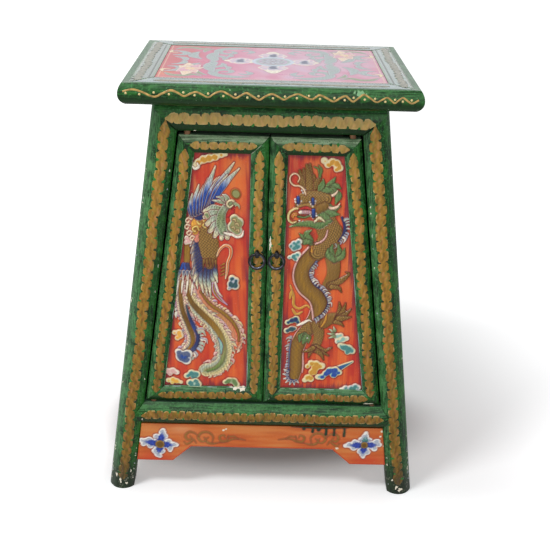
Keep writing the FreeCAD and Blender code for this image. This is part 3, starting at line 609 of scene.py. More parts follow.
class Daub:
    """Small painted marks on one body, gathered into one mesh."""

    def __init__(self, surface, way=FRONT):
        self.surface, self.way = surface, way
        self.points, self.shades, self.faces, self.count = [], [], [], 0

    def grid(self, points, height, shades):
        rows, columns = points.shape[:2]
        self.points.append(self.surface.meet(points, self.way, height).reshape(-1, 3))
        self.shades.append(np.broadcast_to(shades, points.shape).reshape(-1, 3))
        self.faces += [tuple(f) for f in grid_faces(rows, columns, self.count)]
        self.count += rows * columns

    def plane(self, a, b):
        """Points of the drawing plane that the marks are dropped from."""
        if self.way == DOWN:
            return np.stack([a, b, np.full_like(a, HEIGHT)], -1)
        return np.stack([a, np.full_like(a, FRONT_PLANE), b], -1)

    def spot(self, a, b, radius, name, height=0.5, ragged=0.0, seed=0, stretch=(1, 1)):
        turns, rings = 14, 4
        angle, share = mesh_grid(np.linspace(0, 2 * math.pi, turns + 1), np.linspace(0, 1, rings))
        draw = np.random.default_rng(seed)
        reach = radius * (1 + ragged * sum(np.sin(k * angle + draw.uniform(0, 6.3)) / 2 for k in (2, 3, 5)))
        points = self.plane(a + stretch[0] * reach * share * np.cos(angle),
            b + stretch[1] * reach * share * np.sin(angle))
        self.grid(points, 0.05 + height * (1 - share ** 2), PALETTE[name])

    def line(self, points, widths, name, height=0.4, gap=1.0):
        line, _, tangent, half = course(points, widths, gap)
        share = np.linspace(-1, 1, 5)[None]
        offset = half[:, None] * share
        a, b = line[:, :1] - tangent[:, 1:] * offset, line[:, 1:] + tangent[:, :1] * offset
        tint = 1 + 0.1 * waves(a, b, 3)[..., None]
        self.grid(self.plane(a, b), 0.05 + height * (1 - share ** 2), PALETTE[name] * tint)

    def finish(self, name, body, material):
        put_mesh(name, np.vstack(self.points) * MM, self.faces, body, material,
            np.clip(np.vstack(self.shades), 0, 1))


def lobes(length, spacing, seed):
    """Where the lobes of one side of a strip begin."""
    draw = np.random.default_rng(seed)
    steps = spacing * draw.uniform(0.78, 1.22, int(length / spacing * 1.3) + 4)
    return np.cumsum(np.concatenate([[-spacing * draw.uniform(0.1, 0.9)], steps]))


def gold_strip(daub, start, end, half, spacing, seed, rims=0.5, tips=(9, 9), light=0.0):
    """A painted strip of gold with scalloped edges, from start to end in the drawing plane.

    rims is how much of its pale rim is left, tips the lengths of its two tapers, and light how much paler it is
    painted, a painted highlight.
    """
    start, end = np.array(start, float), np.array(end, float)
    length = np.hypot(*(end - start))
    way = (end - start) / length
    at = np.linspace(0, length, int(length / (0.9)))
    taper = half * np.minimum(smooth(at, -3, tips[0]), smooth(length - at, -3, tips[1])) + 0.3
    edges, tones, turns = [], [], []
    for side, size in ((-1, spacing), (1, spacing * 0.9)):
        begin = lobes(length, size, 10 * seed + side)
        which = np.searchsorted(begin, at) - 1
        wide = begin[which + 1] - begin[which]
        share = (at - begin[which]) / wide
        draw = np.random.default_rng(100 * seed + side)
        swell = draw.uniform(0.8, 1.12, len(begin))[which]
        arc = np.clip(1 - (2 * share - 1) ** 2, 0, 1) ** 0.55
        edge = half * swell * (0.58 + 0.48 * arc) + 0.3 * waves(at, 0 * at, seed + side, 8, 3, 9, 2, 7)
        edges.append(np.minimum(edge, taper))
        tones.append(draw.uniform(-1, 1, len(begin))[which])
        turns.append(np.minimum(share, 1 - share) * wide)
    s = np.linspace(-1, 1, 17)[None]
    away = np.abs(s)

    def by_side(pair):
        return np.where(s < 0, pair[0][:, None], pair[1][:, None])

    half_width, cusp = by_side(edges), by_side(turns)
    sway = (0.8 * np.sin(at / 23 + seed) + 0.4 * np.sin(at / 9))[:, None]
    across = s * half_width + sway
    a = start[0] + way[0] * at[:, None] - way[1] * across
    b = start[1] + way[1] * at[:, None] + way[0] * across
    value = 0.44 + 0.07 * by_side(tones) * smooth(away, 0.1, 0.6)
    value = value + 0.16 * waves(a, b, seed, 8, 8, 40, 5, 26) + 0.1 * waves(a, b, seed + 9, 8, 3, 9, 3, 7)
    shades = ramp(value, [(0, "umber"), (0.35, "ochre"), (0.68, "gilt"), (1, "flesh")])
    for offset, name, amount in ((20, "rose", 0.35), (21, "moss", 0.35), (22, "umber", 0.6)):
        shades = blend(shades, name, amount * smooth(waves(a, b, seed + offset, 8, 6, 22, 4, 16), 0.3, 1.3))
    # On the front, painted light: strips are paler towards the top and darker towards the bottom
    if daub.way == FRONT:
        light = light + 0.13 * smooth(b, 360, 560)
        shades = shades * (1 - 0.14 * smooth(b, 330, 100))[..., None]
    shades = blend(shades, "straw", light)
    shades = shades * (1 - 0.45 * bell(cusp, 0, 0.8) * smooth(away, 0.7, 0.98))[..., None]
    worn = smooth(waves(a, b, seed + 50, 8, 8, 30, 6, 30), 0.6 - rims, 1.5 - rims)
    rim = 0.75 * smooth(half_width * (1 - away), 1.5, 0.4) * worn * smooth(cusp, 0.8, 2)
    shades = blend(shades, "straw", rim)
    height = 0.12 + 0.45 * np.sqrt(np.clip(1 - s ** 2, 0, 1)) * (1 - smooth(cusp, 2, 0) * smooth(away, 0.72, 1))
    if daub.way == FRONT:
        dirt = smooth(b, 70, 14) * (0.55 + 0.3 * waves(a, b, seed + 30, 8, 6, 20, 4, 14))
        shades = blend(shades, "soot", dirt)
    daub.grid(daub.plane(a, b), height, shades)
    # Dark green daubs in the notches, more on the shaded side
    stretch = (0.9 + 0.5 * abs(way[1]), 0.9 + 0.5 * abs(way[0]))
    for side, edge, turn in zip((-1, 1), edges, turns):
        draw = np.random.default_rng(1000 * seed + side + 2)
        for i in np.flatnonzero((turn[1:-1] < turn[:-2]) & (turn[1:-1] <= turn[2:])) + 1:
            if tips[0] < at[i] < length - tips[1] and draw.uniform() < (0.9 if side < 0 else 0.7):
                out = side * (edge[i] - 0.3) + sway[i, 0]
                x, z = start + way * at[i] + out * np.array([-way[1], way[0]])
                radius = draw.uniform(1.6, 2.8)
                daub.spot(x, z, radius, draw.choice(["deep_green", "bottle", "bright_green"]), 0.5, 0.45, i, stretch)


# Pictures of the doors

STEP = 0.8
DOOR_PANEL_WIDTH = 122
LEFT_PATCHES = (
    (-45, 484, 26, 34, "flame", 0.8), (-42, 500, 20, 16, "apricot", 0.45), (-98, 486, 16, 22, "scarlet", 0.6),
    (-36, 405, 14, 26, "scarlet", 0.7), (-60, 395, 12, 26, "scarlet", 0.5), (-36, 350, 12, 40, "flame", 0.6),
    (-108, 380, 8, 26, "flame", 0.6), (-60, 320, 26, 24, "scarlet", 0.35), (-124, 270, 9, 60, "flame", 0.85),
    (-86, 235, 12, 40, "red", 0.6), (-30, 215, 9, 60, "flame", 0.5), (-130, 215, 10, 16, "flame", 0.7),
)
RIGHT_PATCHES = (
    (34, 508, 12, 18, "scarlet", 0.6), (66, 506, 26, 12, "apricot", 0.45), (34, 462, 12, 20, "flame", 0.7),
    (100, 480, 10, 30, "scarlet", 0.6), (38, 410, 14, 18, "flame", 0.8), (112, 380, 10, 60, "flame", 0.8),
    (80, 352, 10, 26, "flame", 0.9), (114, 350, 9, 40, "apricot", 0.35), (46, 420, 12, 14, "apricot", 0.35),
    (34, 350, 8, 50, "flame", 0.5), (40, 308, 12, 14, "scarlet", 0.4), (110, 320, 14, 24, "flame", 0.6),
    (118, 270, 18, 14, "flame", 0.5), (100, 225, 18, 18, "flame", 0.4), (132, 215, 10, 20, "scarlet", 0.5),
    (80, 172, 40, 8, "flame", 0.4),
)


def door_edge(z, inset):
    return FOOT_X - SPLAY * z - LEG_WIDTH - DOOR_SIDE_GAP - inset


def door_ground(side):
    """The red ground of a door panel as a picture, with its grid of points."""
    frame_edge = DOOR_FRAME - FRAME_LAP
    low, high = DOOR_LOW + frame_edge, DOOR_HIGH - frame_edge
    v, u = mesh_grid(np.linspace(0, 1, int((high - low) / STEP)), np.linspace(0, 1, int(DOOR_PANEL_WIDTH / STEP)))
    z = low + (high - low) * v
    inner, outer = DOOR_CENTRE + frame_edge, door_edge(z, frame_edge)
    across = inner + (outer - inner) * u
    x = side * across
    streaks = 0.6 * waves(x, z, 5 + side, 12, 60, 260) + 0.5 * waves(x, z, 8 + side, 8, 60, 200, 14, 50)
    ground = ramp(np.clip(0.52 + 0.3 * streaks, 0, 1), [(0, "scarlet"), (0.36, "red"), (1, "flame")])
    picture = Picture(x, z, ground)
    for patch in LEFT_PATCHES if side < 0 else RIGHT_PATCHES:
        picture.wash(*patch)
    draw = np.random.default_rng(70 + side)
    for _ in range(110):
        a, b = side * draw.uniform(25, 145), draw.uniform(low, high)
        wide, tall = draw.uniform(2, 6), draw.uniform(8, 26)
        away = np.maximum(np.abs(picture.x - a + 0.06 * (picture.z - b)) / wide, np.abs(picture.z - b) / tall)
        share = draw.uniform(0.2, 0.5) * smooth(away, 1.1, 0.6)
        name = draw.choice(["flame", "scarlet", "apricot", "red", "crimson"], p=[0.3, 0.22, 0.2, 0.2, 0.08])
        picture.colour = blend(picture.colour, name, share)
    # Painted shade in the corners of the frame: the ground darkens to crimson and plum along the frame's edges
    near_edge = np.minimum(np.minimum(across - inner, outer - across) + 0.5, (high - z) * 0.9)
    near_edge = np.minimum(near_edge, (z - low) * 0.8) + 2.2 * waves(x, z, 11 + side, 6, 30, 90)
    dark = ramp(0.5 + 0.5 * waves(x, z, 21 + side, 6, 30, 120, 20, 60), [(0, "crimson"), (1, "plum")])
    picture.colour = blend(picture.colour, dark.reshape(-1, 3), 0.85 * smooth(near_edge, 9, 0).ravel())
    return picture, x, z


def halfway(a, b, right=0, up=0):
    """The point between two others, moved aside."""
    return (a[0] + b[0]) / 2 + right, (a[1] + b[1]) / 2 + up


def thinned(points, gap):
    """Every so many samples of a curve, and its end."""
    line = curve(points)[0]
    return np.vstack([line[::gap], line[-1:]])


def paint_phoenix(p):
    stroke, cloud, fringe = p.stroke, p.cloud, p.fringe
    # Cloud in the upper corner
    cloud([(-99, 503, 5), (-95, 508, 5), (-88, 512, 6), (-80, 514, 6), (-72, 516, 5.5), (-64, 519, 4.5),
        (-58, 520, 3)], "cream amber gold")
    stroke([(-103, 503), (-99, 499), (-94, 502), (-96, 507)], [1, 1.8, 1.8, 1], "ivory", rise=2)
    # Tail plumes, from the back one to the front one
    stroke([(-126, 338), (-130, 322), (-128, 302), (-124, 284)], [2.4, 3.6, 3, 1.4], "slate", "cream", 1.6,
        serrate=(4, 1, 0))
    plume = [(-100, 338), (-92, 316), (-78, 299), (-62, 286), (-49, 272), (-41, 258), (-39, 244), (-44, 235)]
    fringe(plume, [4, 8, 9, 9, 9, 9, 8, 7], "pink peach mauve rose straw", 1, 7.5)
    stroke(plume, [3, 6, 7.5, 7.5, 7.5, 7.5, 7, 5], "pink", across="cream rose orange rose pink mauve",
        serrate=(5.2, 2, 1), barbs=(4.2, 1.2, 0.3))
    stroke([(-98, 330), (-84, 302), (-70, 291), (-56, 279), (-47, 264), (-44, 246), (-49, 238)],
        [2, 3.2, 3.4, 3.6, 3.4, 3, 2], "rose flesh rose", rise=2, outline_and_shade=0)
    stroke([(-92, 322), (-78, 303), (-60, 290), (-46, 276), (-38, 260), (-37, 246)], [1.2, 2, 2.4, 2.4, 2, 1],
        "ochre", "umber", 0.5, 2.2)
    plume = [(-110, 341), (-109, 320), (-102, 302), (-88, 286), (-73, 270), (-62, 253), (-57, 234), (-59, 214),
        (-68, 203), (-83, 197)]
    fringe(plume, [3, 6, 8, 9.5, 9.5, 10, 10.5, 10.5, 11, 10], "cream straw fog sage peach pink", 2, 8.5, 3.6, 1.6)
    stroke(plume, [2, 4.5, 6.5, 8, 8, 8.5, 9, 9, 10, 9], "cream", across="cream straw sage olive fog cream",
        serrate=(6.4, 2.6, 0), barbs=(3.4, 1.3, 0.2))
    stroke([(-110, 338), (-110, 320), (-103, 303), (-89, 287), (-74, 271), (-63, 254), (-58, 234), (-60, 216),
        (-69, 203), (-82, 197)], [1.6, 2.6, 3.4, 4, 4, 3.8, 3.6, 3.2, 2.8, 1.4], "ochre umber ochre olive moss",
        rise=2, outline_and_shade=0.3)
    stroke([(-66, 250), (-62, 240), (-62, 226)], [1.2, 2.6, 1.2], "aqua", "slate", 0.5, 2.2)
    plume = [(-118, 340), (-121, 318), (-117, 290), (-109, 268), (-103, 251), (-105, 237), (-114, 226)]
    fringe(plume, [4, 6, 7.5, 8, 9, 9.5, 9], "cream pink haze ivory mauve", 3, 7)
    stroke(plume, [3, 5, 6.5, 7, 8, 8.5, 8], "cream", across="pink cream haze slate cream pink", serrate=(5, 2, 1),
        barbs=(4.2, 1.3, 0.3))
    stroke([(-118, 337), (-120, 318), (-117, 292), (-109, 270), (-103, 252), (-104, 239), (-112, 228)],
        [2, 2.6, 2.8, 3.2, 3.2, 2.8, 1.4], "ochre umber ochre", rise=2, outline_and_shade=0.3)
    stroke([(-112, 300), (-108, 284), (-102, 269), (-96, 256), (-96, 244), (-101, 234)], [0.8, 2, 2.6, 3, 2.6, 1.2],
        "dark_teal navy blue navy", rise=2.2)
    stroke([(-98, 262), (-95, 252), (-96, 241), (-102, 231), (-110, 224)], [1, 3, 3.4, 3.4, 2], "navy navy slate",
        rise=1.8)
    fringe([(-97, 268), (-91, 254), (-91, 242), (-96, 231), (-104, 222), (-112, 216)], [1, 2.4, 2.6, 2.8, 2.4, 1],
        "ivory haze fog cream", 7, 9, 4.2, 1.5, sides=(1,))
    cloud([(-119, 219, 9), (-112, 213, 7), (-110, 224, 7), (-124, 227, 5)], "ivory haze slate", "ivory", 1.2)
    for i in range(9):
        a = math.radians(150 + 26 * i)
        stroke([(-116 + 2 * math.cos(a), 220 + 2 * math.sin(a)), (-116 + 9 * math.cos(a), 220 + 9 * math.sin(a))],
            [1, 0.3], "blue slate", rise=1.9, outline_and_shade=0)
    for x, z in ((-124, 330), (-117, 333), (-110, 334), (-103, 330)):
        stroke([(x + 2, z + 12), (x, z), (x - 1.5, z - 14)], [1, 1.5, 0.6], "ivory", rise=1.6)
    # Leg with its blue and white tufts
    stroke([(-110, 394), (-110, 378), (-111, 362), (-110, 352)], [4, 4.6, 4.2, 3], "ochre", "umber")
    for dx, tip, shade in ((-6, 350, "blue"), (-1, 347, "blue"), (4, 349, "navy")):
        stroke([(-112 + dx * 0.6, 362), (-112 + dx * 1.5, tip)], [2.6, 1.8], shade, rise=1.6)
    for dx in (-7, -2, 3, 8):
        stroke([(-113 + dx, 351), (-114 + dx * 1.3, 340)], [2.6, 1], "slate cream", "ivory", 0.6, 1.6)
    # Skirt of long feathers
    for base, tip in (((-99, 364), (-101, 334)), ((-96, 360), (-96, 326)), ((-91, 357), (-88, 320)),
            ((-85, 356), (-82, 316)), ((-80, 356), (-77, 313)), ((-75, 358), (-71, 326)), ((-71, 361), (-68, 336))):
        stroke([base, halfway(base, tip, -1.5), tip], [2.6, 3.7, 0.9], "navy slate fog cream ivory", "ink", 0.35,
            barbs=(5, 1.2, 0.4))
    stroke([(-74, 334), (-72, 322), (-64, 311), (-54, 302)], [2, 2.8, 2.4, 0.7], "ochre", "mauve", 1.3, 1.6)
    stroke([(-71, 336), (-67, 322), (-61, 314)], [1.4, 1.6, 0.5], "ivory", rise=1.8)
    # Lower wing: short feathers, dark by the body and white at their tips
    for i in range(11):
        z = 404 - 4.6 * i
        start = (-90 - 2.5 * math.sin(i * 0.35), z + 1)
        tip = (-106 + 0.5 * i + (2 if i % 2 else 0), z - 15 - 0.7 * i)
        stroke([start, halfway(start, tip, -2.5, 1), tip], [2.8, 3.2, 1], "navy navy cream ivory", "slate", 0.4,
            barbs=(6, 1.2, 0.3))
    cloud([(-111, 401, 3.4), (-107, 396, 4), (-112, 394, 3)], "pink", "ivory", 1.6)
    # Body with scales
    stroke([(-88, 424), (-84, 408), (-80, 390), (-79, 374), (-79, 362)], [7, 12, 14, 12, 6], "brown", scales=3.6,
        rise=2.6)
    for i in range(5):
        stroke([(-87 + 4 * i, 371 - abs(i - 2)), (-88 + 4.4 * i, 360 - abs(i - 2))], [1.8, 0.7], "brown dark_brown",
            "umber", 0.5)
    # Gold and pink curls of the shoulder
    stroke([(-104, 432), (-103, 420), (-100, 406), (-97, 398)], [5, 8, 7, 3], "rose", rise=1.4)
    stroke([(-82, 432), (-92, 428), (-98, 420), (-99, 410)], [5, 8, 7, 4], "amber amber gold", rise=1.8)
    for x, z, r in ((-109, 426, 4), (-110, 417, 4), (-107, 408, 4), (-103, 401, 3.4), (-104, 431, 3.6),
            (-96, 434, 3.4), (-88, 433, 3.6), (-81, 430, 3.4)):
        stroke([(x + r, z + r * 0.5), (x, z + r * 0.9), (x - r * 0.8, z), (x, z - r * 0.8), (x + r * 0.5, z)],
            [0.9, 1.3, 1.3, 1.2, 0.8], "peach", "cream", 0.4, 2.2)
    for x, z, r in ((-91, 425, 5), (-98, 414, 4.4), (-84, 420, 4)):
        stroke([(x + r, z - r * 0.4), (x + r * 0.3, z + r), (x - r, z + r * 0.2), (x - r * 0.4, z - r * 0.7),
            (x + r * 0.3, z - r * 0.1)], [0.8, 1.2, 1.3, 1.2, 0.8], "yellow", rise=2.6)
        stroke([(x - 1, z + 1), (x + 1, z - 1)], [1.2, 0.8], "ochre", rise=2)
    # Raised wing, from the left feather to the right one
    stroke([(-94, 436), (-84, 456), (-66, 482)], [9, 12, 7], "navy blue slate cream", rise=0.8)
    for base, tip, width in (((-104, 434), (-107, 454), 3.4), ((-102, 434), (-103, 464), 3.6),
            ((-99, 435), (-94, 477), 4), ((-95, 437), (-88, 476), 3.6), ((-91, 439), (-82, 486), 3.6),
            ((-88, 441), (-72, 503), 4.6), ((-85, 443), (-66, 489), 3.8), ((-82, 445), (-47, 509), 5),
            ((-79, 448), (-56, 492), 4), ((-76, 452), (-40, 501), 4.6)):
        stroke([base, halfway(base, tip, -1.8, 1.8), tip], [3, width, 0.9], "navy blue blue haze fog cream",
            "ivory", 0.4, barbs=(5, 1.6, 0.25), outline_and_shade=0.7)
    # Neck, frill, head and crest
    for base, tip in (((-64, 444), (-86, 440)), ((-65, 438), (-86, 432)), ((-64, 431), (-83, 422)),
            ((-63, 425), (-79, 412)), ((-60, 420), (-72, 405)), ((-57, 419), (-63, 401)), ((-54, 418), (-55, 402))):
        stroke([base, halfway(base, tip, 0, 2.5), tip], [3.6, 5, 2.8], "lichen fog cream", "ivory", 0.6,
            barbs=(3.4, 1.4, 0.5), outline_and_shade=0.8)
    cloud([(-84, 436, 3), (-82, 432, 2.6)], "lichen", "cream", 1.2, 2)
    stroke([(-61, 412), (-64, 424), (-63, 436), (-58, 446), (-52, 450)], [6, 7, 6, 5, 5], "sage lichen fog", "fog",
        barbs=(2.8, 1, 0.5), rise=2)
    for tip in ((-75, 456), (-70, 461), (-62, 464)):
        stroke([(-53, 453), ((-53 + tip[0]) / 2, tip[1] - 2), tip], [3.2, 3, 0.8], "lichen fog", "ivory", 0.6,
            barbs=(3, 1, 0.5), outline_and_shade=0.8)
    cloud([(-50, 452, 5), (-53, 449, 4.4)], "lichen", "sage", 1, 2.6)
    ring = curve([(-44, 449), (-47, 456), (-53, 456), (-56, 451), (-52, 447), (-48, 450), (-50, 453)])[0]
    stroke(ring[::8], [1.3, 1.2, 1], "cream", rise=3)
    stroke([(-45, 452), (-40, 449), (-39, 445)], [2.2, 1.6, 0.6], "sage", "cream", 0.4, 1.8)
    stroke([(-47, 446), (-49, 438), (-55, 433)], [1.6, 2.4, 1.4], "scarlet", rise=0.6)
    cloud([(-45, 467, 6), (-43, 464, 5.5)], "umber olive", "ochre", 0.9, 0.3)
    cloud([(-46, 431, 6), (-40, 425, 7.5), (-47, 419, 8), (-41, 412, 7.5)], "fog lichen olive", "cream", 1.8)
    for x, z in ((-46, 428), (-42, 422), (-47, 417), (-41, 413)):
        stroke([(x - 2, z + 1), (x + 1, z + 1.5), (x + 2, z - 1.5)], [0.6, 0.9, 0.5], "straw", rise=2.2)
    stroke([(-59, 410), (-53, 408), (-48, 407), (-42, 404), (-35, 406), (-33, 413)], [1.4, 2.2, 2, 2, 1.8, 0.9],
        "ivory", "pink", 0.4, 1.8)
    # Streamer and small clouds
    stroke([(-69, 376), (-65, 385), (-58, 391), (-51, 388), (-50, 378), (-54, 366), (-55, 352), (-57, 342)],
        [1.2, 1.8, 2, 2.4, 2, 1.8, 1.8, 0.8], "orange", "cream", 1, 1.4)
    for i in range(4):
        stroke([(-59, 364 - 5 * i), (-64, 361 - 5 * i)], [1.3, 0.5], "ochre")
    cloud([(-48, 343, 5), (-42, 340, 4.6), (-43, 331, 6), (-49, 334, 6), (-52, 327, 3)], "haze dark_teal", rim=2.2)
    cloud([(-129, 257, 4), (-122, 258, 4.5), (-120, 252, 4.5), (-125, 248, 4)], "peach amber", rim=1.8)
    cloud([(-145, 199, 3.6), (-139, 195, 4.6), (-132, 196, 5), (-126, 193, 4), (-136, 190, 3)], "pink", "ivory", 1.8)
    cloud([(-139, 180, 4), (-132, 182, 4), (-126, 179, 4.5), (-120, 177, 3), (-133, 176, 3)], "yellow amber", rim=1.8)
    cloud([(-112, 188, 4.6), (-105, 193, 5.5), (-97, 191, 5.5), (-101, 186, 5)], "aqua teal", rim=2)
    cloud([(-107, 177, 6), (-99, 180, 5), (-96, 174, 6.5), (-103, 172, 5)], "cream aqua teal", rim=2.2)
    cloud([(-56, 179, 4), (-50, 182, 5), (-43, 181, 5.5), (-39, 175, 5)], "sage leaf", rim=2)


def claw(p, points, thick=4):
    p.stroke(points, [thick, thick * 0.75, 0.9], "brown bronze", "umber", 0.5, 2, scales=3, outline_and_shade=0.6)


def paint_dragon(p):
    stroke, cloud, fringe = p.stroke, p.cloud, p.fringe
    cloud([(73, 515, 5), (78, 509, 4.6), (84, 514, 5), (90, 511, 6), (95, 505, 4.6), (90, 503, 4)],
        "cream amber gold", rim=2)
    # Gold wisps behind
    for points in ([(34, 334), (39, 318), (40, 304), (48, 299), (58, 304), (64, 299)],
            [(38, 298), (44, 290), (52, 294)], [(36, 326), (34, 314)]):
        stroke(points, [1, 1.8, 1.8, 1.6, 1], "gold", "yellow", 0.5)
    # Lower part of the body down to the tail, darker at its edges and paler along its middle: painted shade and
    # highlight that round it
    stroke([(76, 300), (71, 285), (63, 270), (53, 255), (47, 238), (46, 220), (46, 204), (44, 188)],
        [12, 11, 11, 11, 11, 10.5, 10, 8], "bronze", "pink", across="umber bronze ochre bronze umber", rise=2.6)
    stroke([(75, 298), (71, 285), (63, 270), (54, 257)], [9, 9, 9.5, 9], "brown", scales=3.2, rise=2.8)
    fringe([(39, 258), (36, 244), (35, 228), (35, 212), (35, 200)], [2.6, 2.6, 2.4, 2.4, 2.4], "ivory haze fog", 11,
        6.5, 3.6, 1.1, sides=(-1,), edge="haze")
    stroke([(38, 250), (36.4, 236), (36, 222), (36, 206)], [0.6, 1, 1, 0.8], "slate", rise=2)
    stroke([(36, 202), (34.5, 193), (38, 186), (46, 185)], [2, 2.4, 2.4, 1.2], "navy blue", rise=1.6)
    for x, z, a in ((31, 201, 150), (30, 194, 170), (31, 187, 190), (34, 182, 220), (39, 179, 250), (45, 179, 280),
            (50, 182, 310)):
        dx, dz = math.cos(math.radians(a)), math.sin(math.radians(a))
        stroke([(x - 4 * dx, z - 4 * dz), (x + 2 * dx, z + 2 * dz)], [2.2, 0.8], "slate ivory", "ivory", 0.6)
    stroke([(57, 236), (56, 224), (57, 210), (56, 198)], [0.8, 1.1, 1.2, 0.9], "pink", rise=2)
    # Hind leg, with claws
    stroke([(72, 278), (77, 262), (76, 248), (71, 236)], [7, 8, 6.5, 6], "brown", scales=3.2, rise=2.8)
    for points, thick in (([(73, 240), (86, 234), (97, 239)], 5), ([(72, 236), (84, 231), (93, 226)], 4),
            ([(72, 236), (82, 228), (86, 219)], 4.4), ([(70, 238), (66, 230), (64, 222)], 4),
            ([(70, 238), (62, 233), (55, 232)], 3.6)):
        claw(p, points, thick)
    # Raised hand on the right
    stroke([(84, 276), (92, 284), (104, 286)], [7, 9, 8.5], "bronze", "umber", 0.4, 2.4)
    stroke([(80, 272), (85, 281), (87, 292)], [1, 1.6, 1.2], "gold", rise=3)
    for tip in ((104, 310), (113, 309), (121, 300), (122, 288)):
        claw(p, [(104, 285), halfway((104, 285), tip, 1.5), tip], 5)
    claw(p, [(100, 280), (108, 277), (112, 273)], 3.4)
    # Foreleg on the right
    stroke([(84, 394), (92, 372), (93, 352), (86, 334)], [9, 10, 9, 8], "bronze", rise=2.4)
    claw(p, [(90, 336), (104, 343), (115, 353), (111, 356)], 5.5)
    claw(p, [(92, 334), (102, 332), (106, 326)], 4)
    # Middle of the body: the great bend, darker at its edges and paler along its middle: painted shade and highlight
    # that round it
    bend = [(92, 416), (84, 398), (66, 383), (53, 366), (49, 349), (56, 331), (69, 318), (77, 305), (74, 290)]
    stroke(bend, [11, 13, 13, 12.5, 12, 12.5, 13, 12, 9], "bronze", across="umber bronze ochre bronze umber",
        rise=2.8)
    belly = thinned([(57, 392), (46, 379), (39, 362), (37.5, 346), (42, 331), (53, 318), (63, 308), (67, 297),
        (68, 285)], 40)
    stroke(belly, [1.3], "pink", rise=2.8)
    fin = thinned([(69, 371), (63, 364), (61, 352), (64, 342), (73, 334), (82, 325), (88, 314), (88, 302), (80, 291),
        (71, 284)], 30)
    stroke(fin, [1.9], "slate navy navy", rise=2.4)
    fringe(fin, [3.2], "fog haze ivory", 12, 5.6, 3.6, 0.9, sides=(1,), edge="haze")
    # Upper coil with scales
    stroke([(74, 447), (79, 428), (86, 410), (80, 394), (70, 385)], [12, 15, 17, 15, 11], "brown", scales=3.2, rise=3)
    stroke([(82, 418), (80, 408), (74, 401), (66, 397)], [0.8, 1.3, 1.3, 0.8], "pink", rise=3.2)
    stroke([(101, 436), (106, 424), (105, 412), (98, 402)], [1.6, 2.8, 2.6, 1], "navy", rise=2)
    fringe([(101, 438), (107, 426), (106.5, 414), (100, 403), (93, 397)], [3.2, 3.8, 3.8, 3.4, 3], "ivory haze fog",
        13, 6.5, 3.8, 1.1, sides=(1,), edge="haze")
    for x, z in ((62, 392), (59, 397), (62, 386)):
        stroke([(x, z), (x - 1, z + 6)], [1.6, 0.6], "gold", rise=2)
    # Leaves of the mane
    for points in ([(60, 398), (52, 404), (44, 411)], [(60, 402), (54, 411), (60, 417)],
            [(58, 400), (50, 400), (44, 404)], [(93, 376), (88, 386), (90, 397)], [(94, 373), (100, 384), (98, 397)],
            [(94, 374), (104, 380), (107, 391)], [(93, 374), (85, 382), (84, 391)], [(57, 260), (52, 255), (50, 248)],
            [(58, 258), (62, 254), (63, 246)], [(57, 256), (57, 250), (55, 245)]):
        stroke(points, [3.6, 5, 1], "leaf", "moss", 0.5, 2.8, barbs=(3.5, 1.2, 0.35))
    cloud([(61, 254, 1.5)], "white", "ivory", 0.5, 3.4, None)
    # Head: tuft, mane, skull, snout, eyes, mouth and beard
    for points in ([(52, 470), (49, 488), (46, 502)], [(56, 471), (56, 490), (54, 509)],
            [(50, 470), (44, 486), (41, 500)], [(59, 471), (61, 484), (60, 494)], [(58, 474), (64, 484), (69, 492)],
            [(55, 472), (54, 488), (50, 508)]):
        stroke(points, [5, 4.6, 2], "brown bronze", "umber", 0.4, 1.8, scales=3)
    for points in ([(68, 494), (66, 503), (60, 506)], [(68, 493), (70, 502), (66, 508)]):
        stroke(points, [1.6, 1.8, 0.8], "moss", rise=1.4)
    for points in ([(70, 470), (72, 480), (73, 489)], [(77, 470), (83, 481), (89, 492)],
            [(82, 472), (90, 480), (97, 477)], [(86, 474), (94, 466), (91, 455)], [(80, 452), (87, 447), (98, 452)],
            [(76, 446), (85, 442), (97, 440)], [(72, 440), (80, 434), (88, 431)], [(74, 470), (80, 474), (86, 474)]):
        stroke(points, [5, 5.6, 1], "leaf", "moss", 0.5, 2, barbs=(4, 1.2, 0.3))
    stroke([(76, 468), (84, 466), (90, 470), (93, 474)], [1, 2.4, 1.8, 0.8], "peach", rise=2.6)
    stroke([(78, 453), (86, 449), (93, 451), (97, 456)], [0.8, 2, 1.8, 0.8], "peach", rise=2.6)
    stroke([(78, 462), (66, 462), (50, 461), (43, 453)], [8, 11, 11, 7], "brown", scales=3, rise=3)
    stroke([(76, 452), (66, 446), (60, 440)], [6, 6, 4], "bronze", rise=2.6)
    stroke([(60, 452), (46, 451), (38, 447)], [5, 4, 2.4], "brown", rise=3.2)
    cloud([(36, 437, 5), (39, 433, 4)], "rose orange", "gold", 1, 2)
    stroke([(45, 448), (36, 447), (29, 441), (28, 432), (33, 427), (39, 429)], [1.5, 1.8, 2, 2, 1.8, 1], "straw",
        "ochre", 0.4, 3)
    stroke([(42, 436), (36, 438), (34, 434)], [1, 1.1, 0.7], "gold", rise=3)
    stroke([(43, 447), (52, 449), (59, 446)], [1.6, 2.6, 1.6], "scarlet", rise=2.6)
    stroke([(44, 442), (51, 442.5), (58, 442)], [2.6, 2.8, 2.6], "ivory pink", rise=3)
    for x in (47, 50, 53, 56):
        stroke([(x, 445), (x, 439)], [0.35, 0.3], "mauve", rise=2.6)
    stroke([(41, 436), (50, 435), (58, 438)], [1.6, 1.8, 1.4], "moss", "ink", 0.7, 2)
    for x, top, foot, half in ((40, 463, 456, 2.3), (60, 462, 455, 2.1), (61.5, 446, 437, 2.6)):
        for dx, dz, r in ((-3.6, -1, 2), (-3.2, -4.5, 1.8), (2.4, -5.5, 1.9), (0, -8, 1.8), (4.4, -2.5, 1.6)):
            cloud([(x + dx * (1 if x < 50 else -0.9), foot + 5 + dz, r)], "white", "ivory", 0.6, 3, None)
